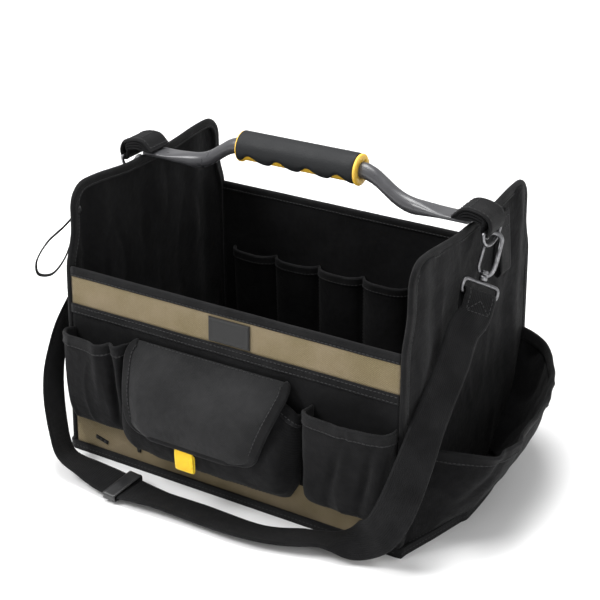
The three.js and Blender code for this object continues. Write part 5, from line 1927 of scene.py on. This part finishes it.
# Middle of the strap and the direction of its width, from the right eye to the left one
STRAP_ROUTE = (
    ((214.5, -52, 210), (-0.58, -0.65, 0.49)), ((215.5, -76, 185), (-0.58, -0.64, 0.5)),
    ((216, -104, 161.6), (-0.55, -0.65, 0.53)), ((217, -131, 140), (-0.58, -0.63, 0.52)),
    ((218, -158, 116.9), (-0.73, -0.5, 0.46)), ((214, -174, 89), (-0.81, -0.38, 0.45)),
    ((206, -181, 63), (-0.89, -0.13, 0.43)), ((193, -181, 40), (-0.8, 0.1, 0.6)),
    ((171, -176, 22.4), (-0.76, 0.5, 0.35)), ((149, -176, 14), (-0.64, 0.74, -0.1)),
    ((129, -179, 10.8), (-0.58, 0.78, -0.22)), ((109, -186, 9.5), (-0.49, 0.86, -0.14)),
    ((89, -192, 7.4), (-0.45, 0.87, -0.17)), ((68, -197, 6.6), (-0.42, 0.88, -0.19)),
    ((44, -199, 6.2), (-0.38, 0.91, -0.17)), ((20, -199, 6), (-0.37, 0.92, -0.13)),
    ((-6, -199, 6.4), (-0.35, 0.93, -0.12)), ((-31, -200, 7.2), (-0.32, 0.93, -0.15)),
    ((-51, -201, 7.8), (-0.28, 0.94, -0.17)), ((-73, -202, 8.4), (-0.14, 0.98, -0.05)),
    ((-98, -202, 8.8), (0.1, 0.98, 0.1)), ((-124, -199, 9.4), (0.2, 0.97, 0.06)),
    ((-149, -196, 12.2), (0.12, 0.98, -0.14)), ((-169, -195, 15.8), (0.03, 0.96, -0.28)),
    ((-183, -192, 22), (-0.05, 0.9, -0.42)), ((-192, -187, 33.3), (-0.07, 0.89, -0.45)),
    ((-202, -179, 51.6), (-0.05, 0.91, -0.42)), ((-210, -171, 71.6), (-0.03, 0.91, -0.42)),
    ((-216, -161, 95.5), (-0.06, 0.9, -0.44)), ((-219, -149, 118), (-0.14, 0.87, -0.47)),
    ((-220, -136, 140), (-0.22, 0.85, -0.48)), ((-219, -118, 162), (-0.32, 0.82, -0.48)),
    ((-217, -96, 183), (-0.42, 0.78, -0.47)), ((-215, -66, 203), (-0.48, 0.74, -0.46)),
)


@dataclass
class ShoulderStrap:
    """Webbing strap with sewn ends and its slider."""

    right: EndFittings
    left: EndFittings
    width: float = 38.0
    thickness: float = 2.4
    slider_row: int = 20
    slider_length: float = 16.0
    slider_thickness: float = 2.4
    sewn_from: float = 36.0
    sewn_to: float = 64.0
    sewn_half: float = 14.0

    def build(self, thread: Thread) -> None:
        """Make the strap, its box stitches and its slider."""
        start = [(at, -wide) for at, wide in self.right.strap_turn(Vector(STRAP_ROUTE[0][0]))]
        finish = self.left.strap_turn(Vector(STRAP_ROUTE[-1][0]))[::-1]
        rows = [*start, *[(Vector(at), Vector(wide)) for at, wide in STRAP_ROUTE], *finish]
        path = smooth_route([tuple(at) for at, _ in rows], 520)
        knots = [at for at, _ in rows]
        across: Line = []
        index = 0
        for point in path:
            while index < len(knots) - 2:
                if (point - knots[index + 1]).dot(knots[index + 1] - knots[index]) <= 0:
                    break
                index += 1
            run = knots[index + 1] - knots[index]
            share = min(max((point - knots[index]).dot(run) / run.length_squared, 0.0), 1.0)
            across.append(rows[index][1].normalized().lerp(rows[index + 1][1].normalized(), share))
        for _ in range(4):
            across = [across[0], *[(a + b * 2 + c) / 4 for a, b, c in zip(across, across[1:], across[2:])],
                      across[-1]]
        strip("shoulder_strap_webbing", path, across, band_section(self.width, self.thickness, 0.25, 16),
              WEBBING, "shoulder_strap")
        ways = line_normals(path)
        outs = [way.cross(wide).normalized() for way, wide in zip(ways, across)]
        count = len(path)
        length = sum((b - a).length for a, b in zip(path, path[1:]))
        per = (count - 1) / length
        near, far = int(self.sewn_from * per), int(self.sewn_to * per)
        half = self.sewn_half
        crossing = [half * share for share in (-1, -0.5, 0, 0.5, 1)]
        for low, high in ((near, far), (count - far, count - near)):
            span = range(max(low, 0), min(high, count - 1))
            face = self.thickness / 2 + 0.15
            first, middle, last = span[0], span[len(span) // 2], span[-1]
            first_wide, last_wide = (across[i].normalized() * half for i in (first, last))
            for sign in (-1, 1):
                for offset in (-half, half):
                    seam = [path[i] + across[i].normalized() * offset + outs[i] * (face * sign) for i in span]
                    thread.sew(seam, [outs[i] * sign for i in span])
                for i in (first, last):
                    wide = across[i].normalized()
                    seam = [path[i] + wide * y + outs[i] * (face * sign) for y in crossing]
                    thread.sew(seam, [outs[i] * sign] * 5)
                lift = outs[middle] * (face * sign)
                for way in (1, -1):
                    seam = [path[first] + first_wide * way + lift, path[middle] + lift,
                            path[last] - last_wide * way + lift]
                    thread.sew(seam, [outs[middle] * sign] * 3)
        self.build_slider()

    def build_slider(self) -> None:
        """Make the moulded slider that the strap runs through."""
        at = Vector(STRAP_ROUTE[self.slider_row][0])
        wide = Vector(STRAP_ROUTE[self.slider_row][1]).normalized()
        before, after = (Vector(STRAP_ROUTE[self.slider_row + step][0]) for step in (-1, 1))
        along = (after - before).normalized()
        up = wide.cross(along).normalized()
        half_in = self.thickness / 2 + 5 * SHAPE.gap
        half_wide = self.width / 2 + 1.2
        out = self.slider_thickness
        high, side = half_in + out / 2, half_wide + out / 2
        low = half_in + out / 4
        corners = [
            (side, high - 1), (side - 1, high), (-side + 1, high), (-side, high - 1), (-side, -low + 1),
            (-side + 1, -low), (side - 1, -low), (side, -low + 1),
        ]
        loop = [at + wide * a + up * b for a, b in corners]
        path = spaced([*loop, loop[0]], 121)[:-1]
        section = band_section(self.slider_length, out * 0.72, 0.25, 10)
        strip("strap_slider_frame", path, [along] * len(path), section, PLASTIC, "strap_slider",
              around=True)


@dataclass
class SmallLoops:
    """Webbing loop on the right end, and the narrow strap on the left one."""

    tape_width: float = 25.0
    tape_thickness: float = 2.0
    tape_top: float = 290.0
    tape_length: float = 68.0
    tape_offset: float = 62.0
    roll_width: float = 7.0
    roll_thickness: float = 1.6
    clip_radius: float = 5.0

    def build(self, thread: Thread) -> None:
        """Make both loops and the clip."""
        x = SHAPE.end_face(self.tape_top) + SHAPE.gap + self.tape_thickness / 2
        low, top = self.tape_top - self.tape_length, self.tape_top
        rows = [(x, top), (x + 0.6, top - 20), (x + 0.8, low + 14), (x + 1.6, low + 4), (x + 5, low),
                (x + 8.4, low + 4), (x + 8, low + 14), (x + 5, top - 20), (x + 2.6, top)]
        path = smooth_route([(out, self.tape_offset, z) for out, z in rows], 120)
        across = [REARWARD] * len(path)
        strip("tape_loop_webbing", path, across,
              band_section(self.tape_width, self.tape_thickness, 0.25, 12), WEBBING, "tape_measure_loop")
        outs = [way.cross(wide) for way, wide in zip(line_normals(path), across)]
        face = [o if o.x > 0 else -o for o in outs]
        for back in (5, 14):
            spot = len(path) - 1 - back
            seam = [path[spot] + Vector((0, y, 0)) + face[spot] * 1.1 for y in range(-10, 11, 5)]
            thread.sew(seam, [face[spot]] * 5)

        z = SHAPE.end_height - 20
        edge_x, edge_y = -SHAPE.end_face(z), -SHAPE.end_half(z)
        r = self.clip_radius
        profile = [
            (0.3, 0.0), (r * 0.7, 0.0), (r, 0.8), (r, 3.0), (r * 0.8, 3.8), (r * 0.45, 3.6), (0.3, 3.2),
        ]
        turned("roll_strap_stud", profile, Vector((edge_x - SHAPE.gap, edge_y + 6, z)), Vector((-1, 0, 0)),
               METAL, "roll_strap_clip")
        top = SHAPE.end_height
        offsets = [
            (-3, 4, -28), (-10, -4, -38), (-26, -14, -56), (-38, -20, -80), (-36, -20, -92),
            (-24, -14, -92), (-12, -6, -76), (-5, 2, -52), (-3, 8, -34),
        ]
        route = smooth_route([(edge_x + a, edge_y + b, top + c) for a, b, c in offsets], 110)
        strip("roll_strap_webbing", route, [Vector((0.5, -0.8, 0.1))] * len(route),
              band_section(self.roll_width, self.roll_thickness, 0.15), WEBBING, "roll_strap")


@dataclass
class Studio:
    """Pale floor, soft lights and the camera of the photograph."""

    lens: float = 84.0
    azimuth: float = 30.63
    elevation: float = 25.84
    distance: float = 1586.0
    target_right: float = -1.0
    target_rise: float = 150.0
    room_light: float = 0.62
    floor_half: float = 9000.0
    floor_sink: float = 0.2
    glow: float = 0.42
    glow_start: float = 0.9
    glow_end: float = 3.2

    def build(self) -> None:
        """Make the floor, the lights and the camera."""
        scene = bpy.context.scene
        scene.view_settings.view_transform = "Standard"
        self.build_floor()
        self.build_world(scene)
        self.build_lamp("key_softbox", (-1.5, -1.5, 2.3), 1.1, 66.0)
        self.build_lamp("fill_softbox", (2.4, -1.0, 1.2), 1.0, 12.0)
        self.build_lamp("top_softbox", (-0.2, 0.2, 2.5), 1.2, 58.0)
        self.build_camera(scene)

    def build_floor(self) -> None:
        """Make the pale floor, lit up far from the bag so that it meets the room evenly."""
        half = self.floor_half
        corners = ((-half, -half), (half, -half), (half, half), (-half, half))
        points = [Vector((x, y, -self.floor_sink)) for x, y in corners]
        material = bpy.data.materials.new("studio_floor")
        material.use_nodes = True
        wiring = Wiring(material.node_tree)
        shader = next(node for node in material.node_tree.nodes if node.type == "BSDF_PRINCIPLED")
        cloud = Finish().effect(wiring, Effect.CLOUD, 0.4, False)
        wiring.join(wiring.mix(cloud.outputs["Mask"], (0.93, 0.93, 0.93), (0.95, 0.95, 0.95)),
                    shader.inputs["Base Color"])
        shader.inputs["Roughness"].default_value = 0.9
        place = wiring.add("ShaderNodeTexCoord")
        reach = wiring.add("ShaderNodeVectorMath", operation="LENGTH")
        wiring.join(place.outputs["Object"], reach.inputs[0])
        far = wiring.spread(reach.outputs["Value"], self.glow_start, self.glow_end)
        wiring.join(wiring.mix(far, (0.0, 0.0, 0.0), (1.0, 1.0, 1.0)), shader.inputs["Emission Color"])
        shader.inputs["Emission Strength"].default_value = self.glow
        uvs = [(0, 0), (1, 0), (1, 1), (0, 1)]
        floor = new_piece("studio_floor", points, [(0, 1, 2, 3)], uvs, [material])

    def build_world(self, scene: bpy.types.Scene) -> None:
        """Fill the room with even white light."""
        world = bpy.data.worlds.new("studio_room")
        world.use_nodes = True
        sky = next(node for node in world.node_tree.nodes if node.type == "BACKGROUND")
        sky.inputs[0].default_value = (1.0, 1.0, 1.0, 1.0)
        wiring = Wiring(world.node_tree)
        seen = wiring.add("ShaderNodeLightPath").outputs["Is Camera Ray"]
        wiring.join(wiring.spread(seen, 0.0, 1.0, self.room_light, 1.0), sky.inputs[1])
        scene.world = world

    def build_lamp(self, name: str, place: tuple[float, float, float], size: float, power: float) -> None:
        """Hang one square softbox that looks at the bag.

        Args:
            name: Name of the lamp.
            place: Its place in metres.
            size: Its side in metres.
            power: Its power in watts.
        """
        lamp = bpy.data.lights.new(name, "AREA")
        lamp.energy = power
        lamp.size = size
        holder = bpy.data.objects.new(name, lamp)
        holder.location = place
        aim = Vector((0, 0, 0.14)) - Vector(place)
        holder.rotation_euler = aim.to_track_quat("-Z", "Y").to_euler()
        bpy.context.scene.collection.objects.link(holder)

    def build_camera(self, scene: bpy.types.Scene) -> None:
        """Stand the camera where the photograph was taken from."""
        az, el = math.radians(self.azimuth), math.radians(self.elevation)
        back = Vector((math.sin(az) * math.cos(el), -math.cos(az) * math.cos(el), math.sin(el)))
        right = Vector((math.cos(az), math.sin(az), 0))
        target = right * self.target_right + back.cross(right) * self.target_rise
        data = bpy.data.cameras.new("photo_camera")
        data.lens = self.lens
        data.sensor_width = 36.0
        data.clip_end = 50.0
        camera = bpy.data.objects.new("photo_camera", data)
        camera.location = (target + back * self.distance) * MM
        camera.rotation_euler = (-back).to_track_quat("-Z", "Y").to_euler()
        scene.collection.objects.link(camera)
        scene.camera = camera


def main() -> None:
    """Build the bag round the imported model."""
    logging.basicConfig(level=logging.INFO, format="%(message)s")
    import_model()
    Studio().build()
    BagWalls().build()
    PocketSet().build()
    handle = TubeHandle()
    handle.build()
    thread = Thread("webbing_stitches")
    right = EndFittings(Side.RIGHT, handle)
    left = EndFittings(Side.LEFT, handle)
    for fittings in (right, left):
        fittings.build(thread)
    ShoulderStrap(right, left).build(thread)
    SmallLoops().build(thread)
    thread.build(THREAD)


if __name__ == "__main__":
    main()
